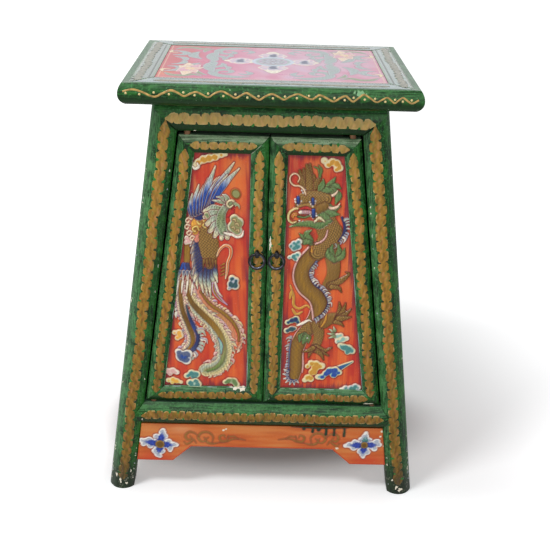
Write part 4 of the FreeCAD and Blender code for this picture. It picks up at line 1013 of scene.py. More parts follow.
        stroke([(x, top), (x + 0.6, foot)], [half, half], "blue navy", "navy", 0.5, 3.6)
    for x, z in ((45, 473), (49, 474), (47, 470), (66, 438), (67, 433), (64, 430), (43, 430), (48, 429)):
        cloud([(x, z, 1.8)], "white", "haze", 0.5, 2.8, None)
    stroke([(30, 421), (42, 425), (56, 426), (70, 424), (84, 431)], [0.8, 3, 4.6, 4.8, 2], "moss leaf", "sage", 0.5,
        2.2, barbs=(4, 1.6, 0.4), serrate=(3.4, 1.6, -1))
    stroke([(64, 429), (70, 435), (77, 430)], [1, 2, 0.8], "cream", rise=2.4)
    ring = curve([(50, 468), (47, 475), (41, 479), (33, 480), (28, 487), (30, 494), (36, 496), (41, 491),
        (40, 485), (35, 484)])[0]
    stroke(ring[::12], [1.4, 1.4, 1.3, 1], "peach", "ochre", 0.4, 1.6)
    # Clouds
    cloud([(33, 393, 3.6), (37, 397, 4), (44, 400, 4.4), (43, 392, 5), (37, 389, 4.4)], "haze aqua teal", "ivory",
        1.8)
    cloud([(31, 376, 3), (37, 378, 4), (43, 381, 4.4), (40, 374, 3.6)], "aqua teal", "ivory", 1.8)
    cloud([(32, 277, 4.4), (38, 280, 4.4), (44, 283, 5), (47, 278, 3.4)], "teal navy", rim=1.8)
    cloud([(31, 264, 4.6), (38, 267, 5), (43, 268, 3)], "slate dark_teal", rim=1.8)
    stroke([(46, 273), (54, 277), (62, 282), (66, 280)], [1.4, 2, 1.6, 0.6], "ivory", rise=2.6)
    cloud([(103, 257, 5), (109, 259, 3.6), (112, 252, 5), (118, 254, 3.6), (105, 249, 4.4)], "cream aqua", "ivory", 2)
    cloud([(109, 243, 4.6), (114, 240, 5.5), (121, 238, 6.5), (127, 234, 5), (120, 232, 4)], "aqua teal", "cream", 2)
    for points in ([(98, 264), (92, 268)], [(98, 260), (90, 261)], [(99, 257), (92, 254)], [(100, 266), (98, 272)]):
        stroke(points, [2.6, 0.8], "lichen ivory", "leaf", 0.4)
    cloud([(63, 208, 4), (68, 214, 4.6), (76, 213, 5), (84, 209, 5.5), (75, 206, 6), (70, 199, 5), (64, 190, 5),
        (60, 185, 4), (69, 187, 5), (74, 198, 4)], "yellow gold gold", rim=1.8)
    stroke([(106, 204), (116, 210), (128, 217)], [5.4, 3.8, 2], "blue teal", "cream", 1.5)
    cloud([(79, 191, 4.6), (85, 191, 5), (90, 197, 5), (96, 202, 6), (104, 203, 6), (110, 199, 4.6), (102, 195, 5.5)],
        "aqua blue blue", rim=2)
    cloud([(114, 171, 3.6), (120, 174, 4.4), (128, 174, 4.6), (134, 178, 4), (139, 175, 4.4), (133, 171, 4)],
        "haze aqua teal", "ivory", 1.8)


def dress_doors():
    material = picture_paint("door_picture_paint")
    sunk = 0.2
    for side, name, paint in ((-1, "left", paint_phoenix), (1, "right", paint_dragon)):
        picture, x, z = door_ground(side)
        paint(picture)
        # Both sheets run from left to right
        x, z, height = (grid[:, ::side] for grid in (x, z, picture.height.reshape(x.shape)))
        colours = picture.colour.reshape(*x.shape, 3)[:, ::side].reshape(-1, 3)
        put_sheet(f"{name}_door_relief", front_at(x, z, DOOR_PANEL_DEPTH - sunk - height),
            front_at(x, z, DOOR_PANEL_DEPTH - sunk / 2), colours, f"{name}_door", material)


# The apron's flowers and vines

APRON_PATCHES = (
    (-10, 104, 60, 9, "apricot", 0.7), (-160, 52, 30, 8, "red", 0.7), (160, 54, 30, 9, "red", 0.7),
    (-90, 90, 30, 16, "tan_orange", 0.5), (-166, 102, 30, 12, "apricot", 0.8), (-120, 100, 20, 8, "peach", 0.3),
    (150, 100, 30, 10, "tan_orange", 0.6), (70, 88, 30, 8, "red", 0.35))
# Tendrils of the right half, each with its half width
TENDRILS = (
    ([(25, 85), (36, 87), (45, 86), (52, 82), (62, 80)], 1.2),
    ([(50, 92), (53, 84), (61, 83), (63, 90), (57, 93), (55, 89)], 1.5),
    ([(64, 80), (72, 78), (80, 79), (84, 84), (80, 88)], 1.6),
    ([(74, 80), (73, 90), (80, 97), (90, 96), (95, 88), (90, 81), (84, 83), (86, 88)], 1.7),
    ([(95, 90), (100, 95), (108, 97), (114, 91), (111, 84), (105, 86), (107, 90)], 1.7),
    ([(98, 78), (102, 84), (106, 80), (112, 76), (116, 80)], 1.3), ([(36, 87), (42, 91), (50, 90)], 1))
# Flowers: the middle, its radius, and the petals. Each petal has the circles of its pale rim and the tip of its
# blue heart.
FLOWERS = (
    (-152, 75, 7, (
        ([(-153, 84, 6), (-158, 88, 4), (-145, 88, 5), (-148, 95, 4.6), (-147, 99.5, 2.4)], (-148, 97)),
        ([(-160, 77, 6), (-168, 82, 4.6), (-166, 72, 4.6), (-174, 79, 4.8), (-180, 81, 3.4), (-177, 74, 2.8)],
            (-177, 79)),
        ([(-144, 75, 6), (-139, 80, 4.2), (-137, 69, 4), (-132, 75, 3.8), (-127, 74, 2.4), (-137, 64, 2.2)],
            (-131, 74)),
        ([(-154, 67, 6), (-160, 63, 4), (-149, 63, 4), (-156, 57, 4), (-152, 54, 2.4)], (-154, 58)))),
    (153.5, 81, 5.6, (
        ([(154, 88, 6), (148, 90, 4), (161, 89, 4), (154, 96, 4.6), (155, 102, 2.4)], (155, 98)),
        ([(145, 81, 6), (139, 86, 4), (138, 76, 4.6), (131, 81, 4.4), (125, 79, 2.6)], (130, 80)),
        ([(162, 81, 6), (170, 87, 4), (169, 75, 4), (176, 82, 3.2), (174, 89, 2.2)], (174, 82)),
        ([(153, 73, 6), (147, 70, 3.6), (159, 69, 4), (152, 65, 4), (153, 60, 2)], (152, 64)))))


def dress_apron(material):
    # Columns crowd round the corners of the apron's lower edge
    turns = np.concatenate([np.linspace(low, high, count) for low, high, count in (
        (-1, -0.716, 34), (-0.712, -0.576, 18), (-0.572, 0.572, 260), (0.576, 0.712, 18), (0.716, 1, 34))])
    low = np.interp(np.abs(turns) * APRON_REACH, *APRON_LOW) + 0.3
    v, u = mesh_grid(np.linspace(0, 1, 90), turns)
    z = low[None] + (APRON_TOP - low[None]) * v
    x = u * (FOOT_X - LEG_WIDTH - SPLAY * z - 0.2)
    streaks = 0.5 * waves(x, z, 31, 12, 4, 14, 60, 260) + 0.4 * waves(x, z, 32, 8, 12, 40, 60, 200)
    ground = ramp(np.clip(0.5 + 0.33 * streaks, 0, 1), [(0, "rust"), (0.45, "tan_orange"), (1, "apricot")])
    p = Picture(x, z, ground)
    for patch in APRON_PATCHES:
        p.wash(*patch)
    # Painted shade: the ground darkens to scarlet along the apron's lower edge and its ends
    shade = smooth(np.minimum(p.z - np.interp(np.abs(p.x), *APRON_LOW), APRON_REACH - 0.3 - np.abs(p.x)), 3.5, 0)
    p.colour = blend(p.colour, "scarlet", 0.5 * shade)
    for side, lift in ((-1, 0), (1, 2)):
        for points, width in TENDRILS:
            p.stroke([(side * a, b + lift) for a, b in points], [0.6, width * 1.05, width * 1.05, 0.7], "vine ochre",
                "vine", 0.5, 0.4, outline_and_shade=0.3)
    for mid_x, mid_z, middle, petals in FLOWERS:
        for circles, _ in petals:
            p.cloud([(a, b, r + 0.8) for a, b, r in circles] + [(mid_x, mid_z, 8)], "white haze", "white", 1.6, 0.8,
                "plum")
        for i, (_, (tip_x, tip_z)) in enumerate(petals):
            half = (mid_x + (tip_x - mid_x) * 0.55, mid_z + (tip_z - mid_z) * 0.55)
            heart = "slate teal haze" if i == 0 and mid_x > 0 else "navy royal royal haze"
            p.stroke([(mid_x, mid_z), half, (tip_x, tip_z)], [3.4, 5, 0.6], heart, "haze", 0.8, 1,
                serrate=(3.4, 1.5, 0), barbs=(2.6, 1.6, 0.3), outline_and_shade=0)
        p.cloud([(mid_x, mid_z, middle)], "ochre umber", "ochre", 1, 1.6, "navy")
    # Green paint that ran down from the rail
    for a, b, width in ((75, 102, 2), (95, 98, 2), (107, 97, 1.8), (122, 96, 1.9), (84, 106, 3), (62, 107, 2.4)):
        p.stroke([(a, 113), (a + 0.4, (b + 110) / 2), (a, b)], [width * 1.2, width * 0.8, width], "deep_green",
            rise=0.5)
    p.stroke([(44, 110), (80, 109), (128, 110)], [0.6, 2, 0.6], "deep_green", rise=0.4)
    for a, b, r in ((-58, 101, 1.4), (-54, 103, 1), (112, 74, 1.6), (178, 105, 2), (176, 96, 1.2), (183, 80, 1)):
        p.cloud([(a, b, r), (a + r, b + 0.5, r * 0.7)], "ivory", "cream", 0.4, 0, None)
    height = p.height.reshape(x.shape) * 0.5
    put_sheet("front_apron_picture", front_at(x, z, APRON_DEPTH - 0.1 - height), front_at(x, z, APRON_DEPTH),
        p.colour, "cabinet", material)


# The painted panel of the table top

# Soft washes on the top's field; the broad lilac, pale blue and blush washes over the right half are partly painted
# reflection of the varnish's sheen
TOP_PATCHES = (
    (-140, 40, 14, 90, "berry", 0.9), (-140, -90, 14, 20, "amber", 0.5), (-110, 105, 60, 12, "berry", 0.8),
    (-100, -102, 40, 12, "rose_red", 0.8), (140, -80, 20, 40, "blush", 0.8), (140, 60, 14, 60, "blush", 0.7),
    (-40, 0, 26, 40, "rose_red", 0.6), (2, 100, 8, 14, "rose_red", 0.7), (2, -88, 8, 24, "rose_red", 0.6),
    (-100, 5, 9, 18, "rose_red", 0.9), (-56, -30, 8, 18, "rose_red", 0.9), (-78, 40, 8, 20, "rose_red", 0.7),
    (-40, 84, 12, 12, "rose_red", 0.8), (-84, -92, 14, 14, "rose_red", 0.9), (-55, 32, 10, 16, "rose_red", 0.7),
    (-80, -24, 8, 14, "rose_red", 0.7), (-136, 30, 8, 10, "berry", 0.8), (-136, -28, 10, 14, "berry", 0.8),
    (-75, 110, 22, 8, "berry", 0.6), (80, -90, 20, 14, "rose_red", 0.35), (148, -90, 12, 30, "blush", 0.8),
    (30, 0, 70, 110, "lilac", 0.4), (100, 20, 50, 90, "pale_blue", 0.3),
)
# Strokes of the scrolls and leaves in one quarter, the same in all four
SCROLLS = (
    # A long scroll beside the medallion, ending in a spiral
    ([(30, 96), (46, 99), (64, 95), (76, 82), (76, 64), (64, 56), (54, 62), (56, 74), (66, 76)],
        [1.5, 6, 8, 8, 7, 6, 5, 3.6, 1.4], "mist"),
    ([(78, 70), (84, 48), (84, 26), (80, 8), (84, 0)], [2, 7.5, 9, 8, 3], "mist"),
    ([(84, 44), (74, 38), (66, 26), (68, 12)], [1.5, 5, 5, 1.5], "mist"),
    # Leaves in the corners
    ([(100, 16), (110, 30), (112, 50), (106, 66)], [2, 7.5, 7.5, 2], "mist"),
    ([(34, 62), (28, 74), (34, 84), (42, 78)], [1.5, 4, 4, 1.5], "mist"),
    ([(64, 30), (58, 42), (60, 52)], [2, 4.6, 1.5], "mist"),
    ([(98, 66), (96, 80), (86, 92)], [1.5, 4.6, 1.5], "lichen"),
    ([(92, 98), (104, 90), (116, 98), (130, 96), (140, 84)], [1.5, 5, 6, 5, 1.5], "lichen"),
    ([(142, 70), (130, 66), (122, 54), (128, 42), (140, 40)], [1.5, 5, 6, 5, 1.5], "mist"),
    ([(136, 26), (124, 20), (120, 6), (124, 0)], [1.5, 5, 5, 1.5], "mist"))
PETALS = ((100, 36, "peach"), (60, 30, "blush"), (140, 26, "peach"), (20, 24, "pink"), (180, 20, "blush"),
    (260, 40, "peach"), (300, 26, "pink"), (220, 28, "blush"))


def dress_top():
    step = 1.2
    y, x = mesh_grid(*(np.linspace(-reach, reach, int(2 * reach / step)) for reach in (TOP_PANEL_Y, TOP_PANEL_X)))
    # The ground goes from berry on the left to mauve on the right, paler to the right partly as a painted reflection
    # of the sheen
    tint = 0.72 * smooth(x, -150, -20) - 0.1 * smooth(x, 60, 150) + 0.1 * waves(x, y, 41, 10, 20, 80, 20, 90)
    ground = ramp(np.clip(tint, 0, 1), [(0, "berry"), (0.4, "rose_red"), (0.75, "blush"), (1, "mauve")])
    p = Picture(x, y, ground)
    for patch in TOP_PATCHES:
        p.wash(*patch)
    for side in (-1, 1):
        for way in (-1, 1):
            for points, widths, shade in SCROLLS:
                p.stroke([(side * a, way * b) for a, b in points], widths, shade, "haze", 1.2, 0.15)
            p.stroke([(side * a, way * b) for a, b in ((136, 56), (146, 62), (144, 76))], [1, 3, 0.8], "cream",
                rise=0.15)
    # Two flowers on opposite corners
    for x0, y0 in ((-110, -54), (106, 68)):
        for angle, reach, shade in PETALS:
            a = math.radians(angle)
            tip = (x0 + reach * 0.7 * math.cos(a), y0 + reach * math.sin(a))
            p.stroke([(x0, y0), halfway((x0, y0), tip), tip], [4, 9, 2.5], shade, "ivory", 1.4, 0.2)
        p.cloud([(x0, y0, 7)], "amber peach", "cream", 2, 0.1, None)
    # The medallion: a lobed frame round a pale disc, with a dark drop in each lobe
    for points in ([(-30, 0), (-44, 10), (-62, 8), (-44, 4), (-30, 14)],
            [(30, 0), (46, 10), (62, 8), (46, 4), (30, 14)], [(-8, 38), (-4, 58), (2, 76), (8, 58), (12, 38)],
            [(-8, -22), (-4, -46), (2, -66), (8, -46), (12, -22)]):
        p.stroke(points, [6, 8, 5, 8, 6], "ivory", rise=0.15)
    for a, b, reach_x, reach_y in ((-44, 8, 17, 26), (46, 8, 17, 26), (2, 50, 24, 22), (2, -34, 24, 22)):
        for turn in np.linspace(0, 2 * math.pi, 9)[:-1]:
            circle = (a + reach_x * 0.5 * math.cos(turn), b + reach_y * 0.5 * math.sin(turn), 9)
            p.cloud([circle], "lilac", "ivory", 2, 0.05, None)
        p.cloud([(a, b - 5, 8), (a, b + 4, 6), (a + 2, b + 10, 4)], "slate navy", "haze", 2.5, 0.1, None)
    p.cloud([(2 + 9 * math.cos(t), 8 + 11 * math.sin(t), 21) for t in np.linspace(0, 6.28, 9)[:-1]],
        "pale_blue mist", "pale_blue", 3, 0.1, None)
    p.cloud([(2, 8, 20)], "mist", "mauve", 1.4, 0.1, None)
    for i in range(8):
        a = math.pi / 4 * i
        p.stroke([(2 + reach * math.cos(a), 8 + reach * math.sin(a)) for reach in (0, 9, 17)], [1, 4, 1], "haze",
            "slate", 0.5, 0.15)
    # A pale line round the field
    edge = np.minimum(TOP_PANEL_X - np.abs(p.x), TOP_PANEL_Y - np.abs(p.z))
    p.colour = blend(p.colour, "cream", 0.7 * smooth(edge, 5, 4) * smooth(edge, 2.6, 3.4))
    height = 0.15 + 0.3 * p.height.reshape(x.shape)
    top, base = (np.stack([x, y, TOP_PANEL_LEVEL + rise], -1) for rise in (height, 0 * x))
    put_sheet("top_picture", top, base, p.colour, "cabinet",
        picture_paint("top_picture_paint", 0.22, 0.25, 0.3))


# Green mouldings with their gold strips

# Paint lost down to the white ground: x, z, radius and how tall the mark is for its width
LOST_PAINT = {
    "left_door": ((-38, 171.5, 7, 0.35), (-30, 170.5, 4, 0.8), (-47, 172.3, 3, 0.3)),
    # By the right staple the pale marks are lost paint and painted glints of its plate
    "right_door": ((4.5, 395, 1.6, 4), (4, 403, 1.1, 3), (9, 392, 1.6, 1), (18, 389, 1.5, 1.2), (8.6, 389, 1, 1.4),
        (12, 396, 0.9, 1), (153, 150.2, 6, 0.22), (159, 151, 3, 0.3)),
    "cabinet": ((-99, 551.8, 1.6, 0.5), (-170, 129, 1.5, 1.4), (-177, 120, 1, 1.5), (133, 567, 1.4, 0.8),
        (-212, 14, 1.6, 2.4), (-203, 9, 1.4, 1.6), (212, 8, 4, 0.6), (206, 12, 2, 1.4), (199, 24, 1, 2),
        (-218, 22, 1.2, 3), (222, 40, 0.9, 3), (-196, 30, 1, 2)),
}
# The wavy line along the table top's edge, its dots, and pale marks beside it
CRESTS = [
    (-186, 610), (-174, 612.6), (-162, 610), (-147, 604.4), (-136, 609), (-126, 612.8), (-117, 610), (-109, 606.2),
    (-101, 609.6), (-94, 611.6), (-87, 609), (-79, 605.6), (-71, 610.6), (-62, 613.2), (-53, 609.6), (-45, 605.6),
    (-38, 609), (-31, 612), (-23, 608), (-15, 604.2), (-7, 609), (1, 611.6), (9, 608.4), (16, 605.2), (24, 609.4),
    (33, 612.4), (42, 609.4), (51, 606.6), (60, 611.8), (69, 608.6), (78, 604.6), (86, 609), (93, 611.6), (98, 608),
    (103, 605.2), (110, 610.4), (116, 614), (124, 609.8), (132, 605.2), (139, 608.4), (145, 611), (150, 608),
    (155, 604.6), (160, 608.4), (165, 611.4), (171, 607.6), (177, 604.8), (185, 609),
]
DOTS = (
    (-182, 608), (-165, 607), (-147, 609.6), (-128, 608), (-110, 610.6), (-96, 607.6), (-79, 610), (-60, 607.6),
    (-45, 610), (-30, 606.4), (-16, 608.6), (2, 606.4), (17, 609), (32, 607.4), (47, 610.6), (61, 607.2), (79, 608.8),
    (92, 606.6), (103, 609.8), (117, 608), (130, 609.4), (143, 606), (155, 608.8), (165, 606.8), (176, 608.6),
)
PALE_MARKS = ((111, 615, 4), (104, 616, 1.6), (118, 614, 1.4), (-52, 615, 1))


def door_corner(side, level, inset):
    """A corner of a door's frame: on its outer edge at this level, moved inwards by inset."""
    return side * door_edge(level, inset), level


def seam(a, b, pale):
    """The joint that shows as a line from a to b, both (x, z)."""
    return (a[0], 0, a[1]), (b[1] - a[1], 0, a[0] - b[0]), pale


def assign(material, names):
    for name in names.split():
        for slot in nodes[name].material_slots:
            slot.material = material


def dress_door_frame(side, label, door):
    low, high = DOOR_LOW, DOOR_HIGH
    inner_low, inner_high = low + DOOR_FRAME, high - DOOR_FRAME
    centre, near = side * DOOR_CENTRE, side * (DOOR_CENTRE + DOOR_FRAME)
    inner = [seam((centre, low), (near, inner_low), 0.6), seam((centre, high), (near, inner_high), 0.65)]
    outer = [seam(door_corner(side, low, 0), door_corner(side, inner_low, DOOR_FRAME), 0.15 * (1 + side)),
        seam(door_corner(side, high, 0), door_corner(side, inner_high, DOOR_FRAME), 0.1)]
    # The top rail's paler top is partly dust and partly a painted highlight
    for piece, grain, cracks, options in (("outer_stile", "z", outer, {}), ("inner_stile", "z", inner, {}),
            ("top_rail", "x", [inner[1], outer[1]], {"fade_and_highlight": 1.5, "dust_and_highlight": (164, 190, 152)}),
            ("bottom_rail", "x", [inner[0], outer[0]], {})):
        assign(green_paint(f"{label}_{piece}_paint", grain, cracks, **options), f"{label}_door_{piece}")
    gold_strip(door, door_corner(side, low + 15, 12.5), door_corner(side, high - 18, 12), 6.4, 13, 11 + side, 0.2,
        (8, 12))
    # The strips on the inner stile and the top rail are painted paler, a painted highlight
    gold_strip(door, (side * 12.8, low + 16), (side * 13.2, high - 18), 6.3, 13, 15 + side, 0.1, (8, 14), 0.08)
    gold_strip(door, (side * 17, high - 12.5), door_corner(side, high - 12.5, 17), 5.6, 12.5, 19 + side, 0.4,
        light=0.16)
    # Thin pale lines along the frame's inner edge: worn paint and a painted highlight on the arris
    draw = np.random.default_rng(5 + side)
    inset, beside = DOOR_FRAME - FRAME_LAP, near - side * FRAME_LAP
    for start, end in ((door_corner(side, inner_low, inset), door_corner(side, inner_high, inset)),
            ((beside, inner_low), (beside, inner_high)),
            ((near, inner_low - FRAME_LAP), door_corner(side, inner_low - FRAME_LAP, DOOR_FRAME))):
        start, end = np.array(start), np.array(end)
        at = 0
        while at < 1:
            stop = min(1, at + draw.uniform(0.03, 0.2))
            door.line([start + (end - start) * share for share in (at, (at + stop) / 2, stop)], [0.1, 0.3, 0.1],
                draw.choice(["fog", "haze", "pale_green"]), 0.1, 4)
            at = stop + draw.uniform(0.01, 0.12)
    gold_strip(door, (side * 17, low + 11.5), door_corner(side, low + 11.5, 17), 5.8, 12.5, 23 + side, 0.5)


def dress_mouldings(material):
    marks = {body: Daub(Surface(body)) for body in ("cabinet", "left_door", "right_door")}
    cabinet = marks["cabinet"]
    for side, label in ((-1, "left"), (1, "right")):
        mitres = [seam((side * 122.4, 551), (side * 151.3, 579.8), 0.1),
            seam((side * 174.4, 145), (side * 187.7, 127.5), 0.1)]
        assign(green_paint(f"{label}_front_leg_paint", "z", mitres), f"front_{label}_leg")
        gold_strip(cabinet, (side * (210.5 - SPLAY * 16), 16), (side * (208.5 - SPLAY * 567), 567), 7.6, 15.5,
            3 + side, 0.15, (8, 18))
        dress_door_frame(side, label, marks[f"{label}_door"])
    # The top rail's strip is painted paler, a painted highlight under the table top, and both rails take less of the
    # paler top
    for place, fade_and_highlight, light, strip in (("top", 0.25, 0.36, ((-137, 569), (137, 569), 7.8, 15, 31, 1.1)),
            ("bottom", 0.5, 0, ((-178, 127), (178, 127), 7.4, 12.5, 37, 1.3))):
        assign(green_paint(f"front_{place}_rail_paint", "x", fade_and_highlight=fade_and_highlight), f"front_{place}_rail")
        gold_strip(cabinet, *strip, (12, 12), light)
    for body, lost in LOST_PAINT.items():
        for i, (x, z, radius, tall) in enumerate(lost):
            marks[body].spot(x, z, radius, "ivory", 0.15, 0.5, i + 3, (1, tall))
    draw = np.random.default_rng(77)
    for i in range(64):
        z = draw.uniform(8, 560) if i % 3 else draw.uniform(6, 70)
        x = draw.choice([-1, 1]) * (draw.choice([228.6, 227.6, 196]) - SPLAY * z)
        cabinet.spot(x, z, draw.uniform(0.5, 1.1), draw.choice(["fog", "haze", "ivory"]), 0.12, 0.5, i,
            (0.8, draw.uniform(0.8, 2.4)))
    cabinet.line(CRESTS, [1.1, 1.4, 1, 1.3, 1, 1.3, 1, 1.2], "braid", 0.5, 0.8)
    for x, z in DOTS:
        cabinet.spot(x, z, 1.5, "straw", 0.7)
    for x, z, radius in PALE_MARKS:
        cabinet.spot(x, z, radius, "pale_green", 0.15, 0.5, abs(x))
    for body, daub in marks.items():
        daub.finish(f"{body}_gold_strips", body, material)
    dress_top_frame(cabinet.surface)


def dress_top_frame(surface):
    band = Daub(surface, DOWN)
    for points in (((-170, -136), (-170, 136)), ((170, 136), (170, -136)), ((-150, -133), (150, -133)),
            ((150, 133), (-150, 133))):
        gold_strip(band, *points, 5.5, 14, 51 + len(band.faces) % 7, 0.4)
    for sign in (-1, 1):
        for line in ([(sign * 157.5, -120), (sign * 157.5, 120)], [(-157.5, sign * 120), (157.5, sign * 120)]):
            band.line(line, [1.4, 1.4], "deep_green", 0.1, 4)
    # The strips on the table top are greyed towards mist, a painted reflection of the sky on the polished top
    band.shades = [0.28 * shades + 0.72 * PALETTE["mist"] * (0.4 + 0.9 * shades.mean(1)[:, None])
        for shades in band.shades]
    band.finish("top_gold_strips", "cabinet", picture_paint("top_strip_paint", 0.2, 0.3, 0.3))
    assign(green_paint("plain_green_paint"), "back_left_leg back_right_leg")
    assign(green_paint("green_paint_along_x", "x"), "back_top_rail back_bottom_rail")
    assign(green_paint("green_paint_along_y", "y"), "left_top_rail right_top_rail left_bottom_rail right_bottom_rail")
    for name, grain in (("front", "x"), ("back", "x"), ("left", "y"), ("right", "y")):
        assign(green_paint(f"top_frame_{name}_paint", grain, fade_and_highlight=0.5, gloss=0.2), f"top_frame_{name}")
    # The polished flat of the table top, one sheet on each side, meeting at the mitres; their pale blue-grey colours
    # are a painted reflection of the sky, darker on the left side
    sky_reflection = ((66, 104, 110), (106, 142, 156))
    for name, turn, inner, outer, along, sky_reflection in (("front", 0, 113.9, 148.5, 37, sky_reflection),
            ("back", 2, 113.9, 148.5, 37, sky_reflection), ("left", 3, 150.9, 179.5, -37, ((44, 70, 72), (78, 100, 106))),
            ("right", 1, 150.9, 179.5, -37, ((68, 104, 106), (108, 142, 150)))):
        out, share = mesh_grid(np.linspace(inner, outer, 8), np.linspace(1, -1, 60))
        across = share * (out + along - 0.1)
        x, y = ((across, -out), (out, across), (-across, out), (-out, -across))[turn]
        flat = np.stack([x, y, np.full_like(x, HEIGHT + 0.08)], -1)
        put_sheet(f"top_band_{name}", flat, flat - (0, 0, 0.04), None, "cabinet",
            green_paint(f"top_band_{name}_paint", "y" if turn % 2 else "x", gloss=0.12, sheen=0.7, sky_reflection=sky_reflection))


def dress_rest():
    for names, paint in (
            ("left_side_panel right_side_panel left_door_panel right_door_panel",
                ("side_panel_paint", (168, 46, 32), (204, 76, 40), (90, 90, 8))),
            ("front_apron left_apron right_apron", ("apron_paint", (176, 72, 28), (218, 118, 54), (12, 60, 160))),
            ("back_panel bottom_board shelf left_bottom_cleat right_bottom_cleat left_shelf_cleat "
                "right_shelf_cleat back_top_batten",
                ("inside_wood", (92, 66, 42), (150, 112, 74), (12, 160, 160), 0.6, 0)),
            ("left_door_pivots right_door_pivots",
                ("bare_wood", (96, 64, 40), (150, 106, 70), (160, 160, 12), 0.6, 0)),
            # The door stop and the front top batten are painted near black: painted shade in the gap above the doors
            ("door_stop front_top_batten", ("shadowed_wood", (14, 12, 10), (30, 26, 20), (12, 160, 160), 0.8, 0))):
        assign(plain_paint(*paint), names)
    iron = iron_paint("blackened_iron")
    for side in ("left", "right"):
        assign(iron, f"{side}_door_staple")
        put_ring(side, iron)
        put_staple_loop(side, iron)
    assign(plain_paint("top_panel_paint", (150, 40, 50), (206, 90, 90), (40, 40, 40), 0.2, 0.5), "top_panel")


def put_ring(label, material):
    """A hammered iron ring in the place of the plain one."""
    plain = f"{label}_door_ring"
    corners = np.array([v.co for v in nodes[plain].data.vertices])
    centre = (corners.min(0) + corners.max(0)) / 2
    first, second, normal = np.linalg.svd(corners - centre, full_matrices=False)[2]
    wire = np.abs((corners - centre) @ normal).max()
    radius = np.linalg.norm(corners - centre, axis=1).max() - wire
    rows, columns = 72, 16
    turn, round_wire = mesh_grid(np.arange(rows) * 2 * math.pi / rows, np.arange(columns) * 2 * math.pi / columns)
    swell = wire * (1.1 + 0.06 * np.sin(3 * turn + 1) * np.sin(7 * turn))
    out = radius + swell * np.cos(round_wire)
    points = (centre + out[..., None] * (np.cos(turn)[..., None] * first + np.sin(turn)[..., None] * second)
        + (swell * np.sin(round_wire))[..., None] * normal)
    # Bare metal along the inner front of the wire, where it is rubbed, and a painted highlight there
    front = math.pi * (1.27 if normal[1] > 0 else 0.73)
    rubbed_and_glint = bell(round_wire, front, 0.42) * np.clip(0.62 + 0.4 * np.sin(3 * turn + 2) * np.sin(5 * turn), 0, 1)
    index = np.arange(rows * columns).reshape(rows, columns)
    piece = put_mesh(f"{label}_iron_ring", points.reshape(-1, 3), tube_faces(np.vstack([index, index[:1]])),
        f"{label}_ring", material, np.repeat(rubbed_and_glint.reshape(-1, 1), 3, 1))
    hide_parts(plain)


def put_staple_loop(label, material):
    """The broad hammered front of a staple, round the wire that the solid has."""
    corners = np.array([v.co for v in nodes[f"{label}_door_staple"].data.vertices]) * METRE
    low, high = corners.min(0), corners.max(0)
    outer = (high[2] - low[2]) / 2
    centre = np.array([(low[0] + high[0]) / 2, low[1] + outer, (low[2] + high[2]) / 2])
    across = np.linspace(-1, 1, 9)
    x = np.concatenate([3.1 * across, 3.0 * across[::-1]])
    radius = np.concatenate([outer + 0.5 - 1.3 * across ** 4, outer - 2.35 + 0.15 * across ** 2])
    turn, profile = mesh_grid(np.radians(np.linspace(-122, 122, 30)), np.arange(len(x)))
    reach = radius[profile] * (1 + 0.03 * np.sin(5 * turn + 3 * profile))
    points = np.stack([x[profile] * (0.86 + 0.14 * np.cos(turn)), -reach * np.cos(turn), reach * np.sin(turn)], -1)
    index = np.arange(turn.size).reshape(turn.shape)
    put_mesh(f"{label}_staple_loop", (points + centre).reshape(-1, 3) / METRE,
        [*tube_faces(index), index[0], index[-1, ::-1]], f"{label}_door", material)


# Floor, background and light

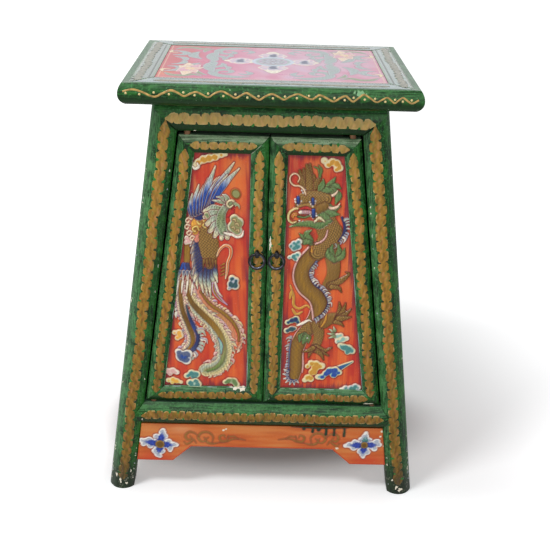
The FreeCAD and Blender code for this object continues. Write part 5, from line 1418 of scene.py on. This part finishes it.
def set_stage():
    mesh = bpy.data.meshes.new("floor")
    mesh.from_pydata([(-14, -14, 0), (14, -14, 0), (14, 14, 0), (-14, 14, 0)], [], [(0, 1, 2, 3)])
    floor = add_object("floor", mesh)
    material, t = new_material("floor_paint")
    shader = t.node("BsdfPrincipled", {"Base Color": (0.83, 0.84, 0.85, 1), "Roughness": 0.9,
        "Specular IOR Level": 0.0})
    # The floor glows to white for the camera, weakly under and beside the cabinet and more further off: painted light
    # that whitens the floor and fades the cabinet's shadow
    flat = t.vector("MULTIPLY", t.place(), (1, 1, 0))
    reach = t.vector("LENGTH", t.vector("MULTIPLY", flat, (1, 0.7, 0)), output=1)
    below = t.vector("MULTIPLY", t.vector("SUBTRACT", flat, (0, 0.07, 0)), (4.0, 7.2, 0))
    below = t.vector("LENGTH", below, output=1)
    glow_there = t.add(t.mul(t.step(below, 0.8, 1.35), 0.29), t.mul(t.step(reach, 0.3, 0.68), 0.4))
    glow_there = t.add(glow_there, t.mul(t.step(t.dot(flat, (1, 0, 0)), -0.236, -0.266), 0.2))
    glow_there = t.add(glow_there, t.mul(t.step(t.dot(flat, (0, 1, 0)), -0.11, -0.2), 0.13))
    ray = t.node("LightPath").outputs
    strength = t.add(t.mul(ray["Is Camera Ray"], glow_there), t.mul(ray["Is Glossy Ray"], 0.1))
    glow = t.node("Emission", {"Color": (1, 1, 1, 1), "Strength": strength})
    t.end("OutputMaterial", t.node("AddShader", {0: shader.outputs[0], 1: glow.outputs[0]}))
    mesh.materials.append(material)

    world = bpy.data.worlds.new("world")
    bpy.context.scene.world = world
    world.use_nodes = True
    world.node_tree.nodes.clear()
    t = Tree(world.node_tree)
    ray = t.node("LightPath").outputs
    seen = t.math("MAXIMUM", ray["Is Camera Ray"], ray["Is Transmission Ray"])
    seen = t.math("MAXIMUM", seen, ray["Is Glossy Ray"])
    t.end("OutputWorld", t.node("Background", {"Color": (1, 1, 1, 1), "Strength": t.add(0.45, t.mul(seen, 0.55))}))

    for name, place, size, power in (("key", (-1.2, -0.95, 2.3), 0.7, 34), ("fill", (0.4, -2.6, 1.0), 1.6, 10)):
        light = bpy.data.lights.new(name, "AREA")
        light.shape = "DISK"
        light.size = size
        light.energy = power
        lamp = add_object(name, light)
        lamp.location = place
        lamp.rotation_euler = (Vector((0, 0, 0.3)) - Vector(place)).to_track_quat("-Z", "Y").to_euler()
    bpy.context.scene.view_settings.view_transform = "Standard"


add_camera()
dress_mouldings(picture_paint("strip_paint", 0.28, 0.1, 0.18))
dress_apron(picture_paint("apron_picture_paint"))
dress_top()
dress_rest()
dress_doors()
set_stage()
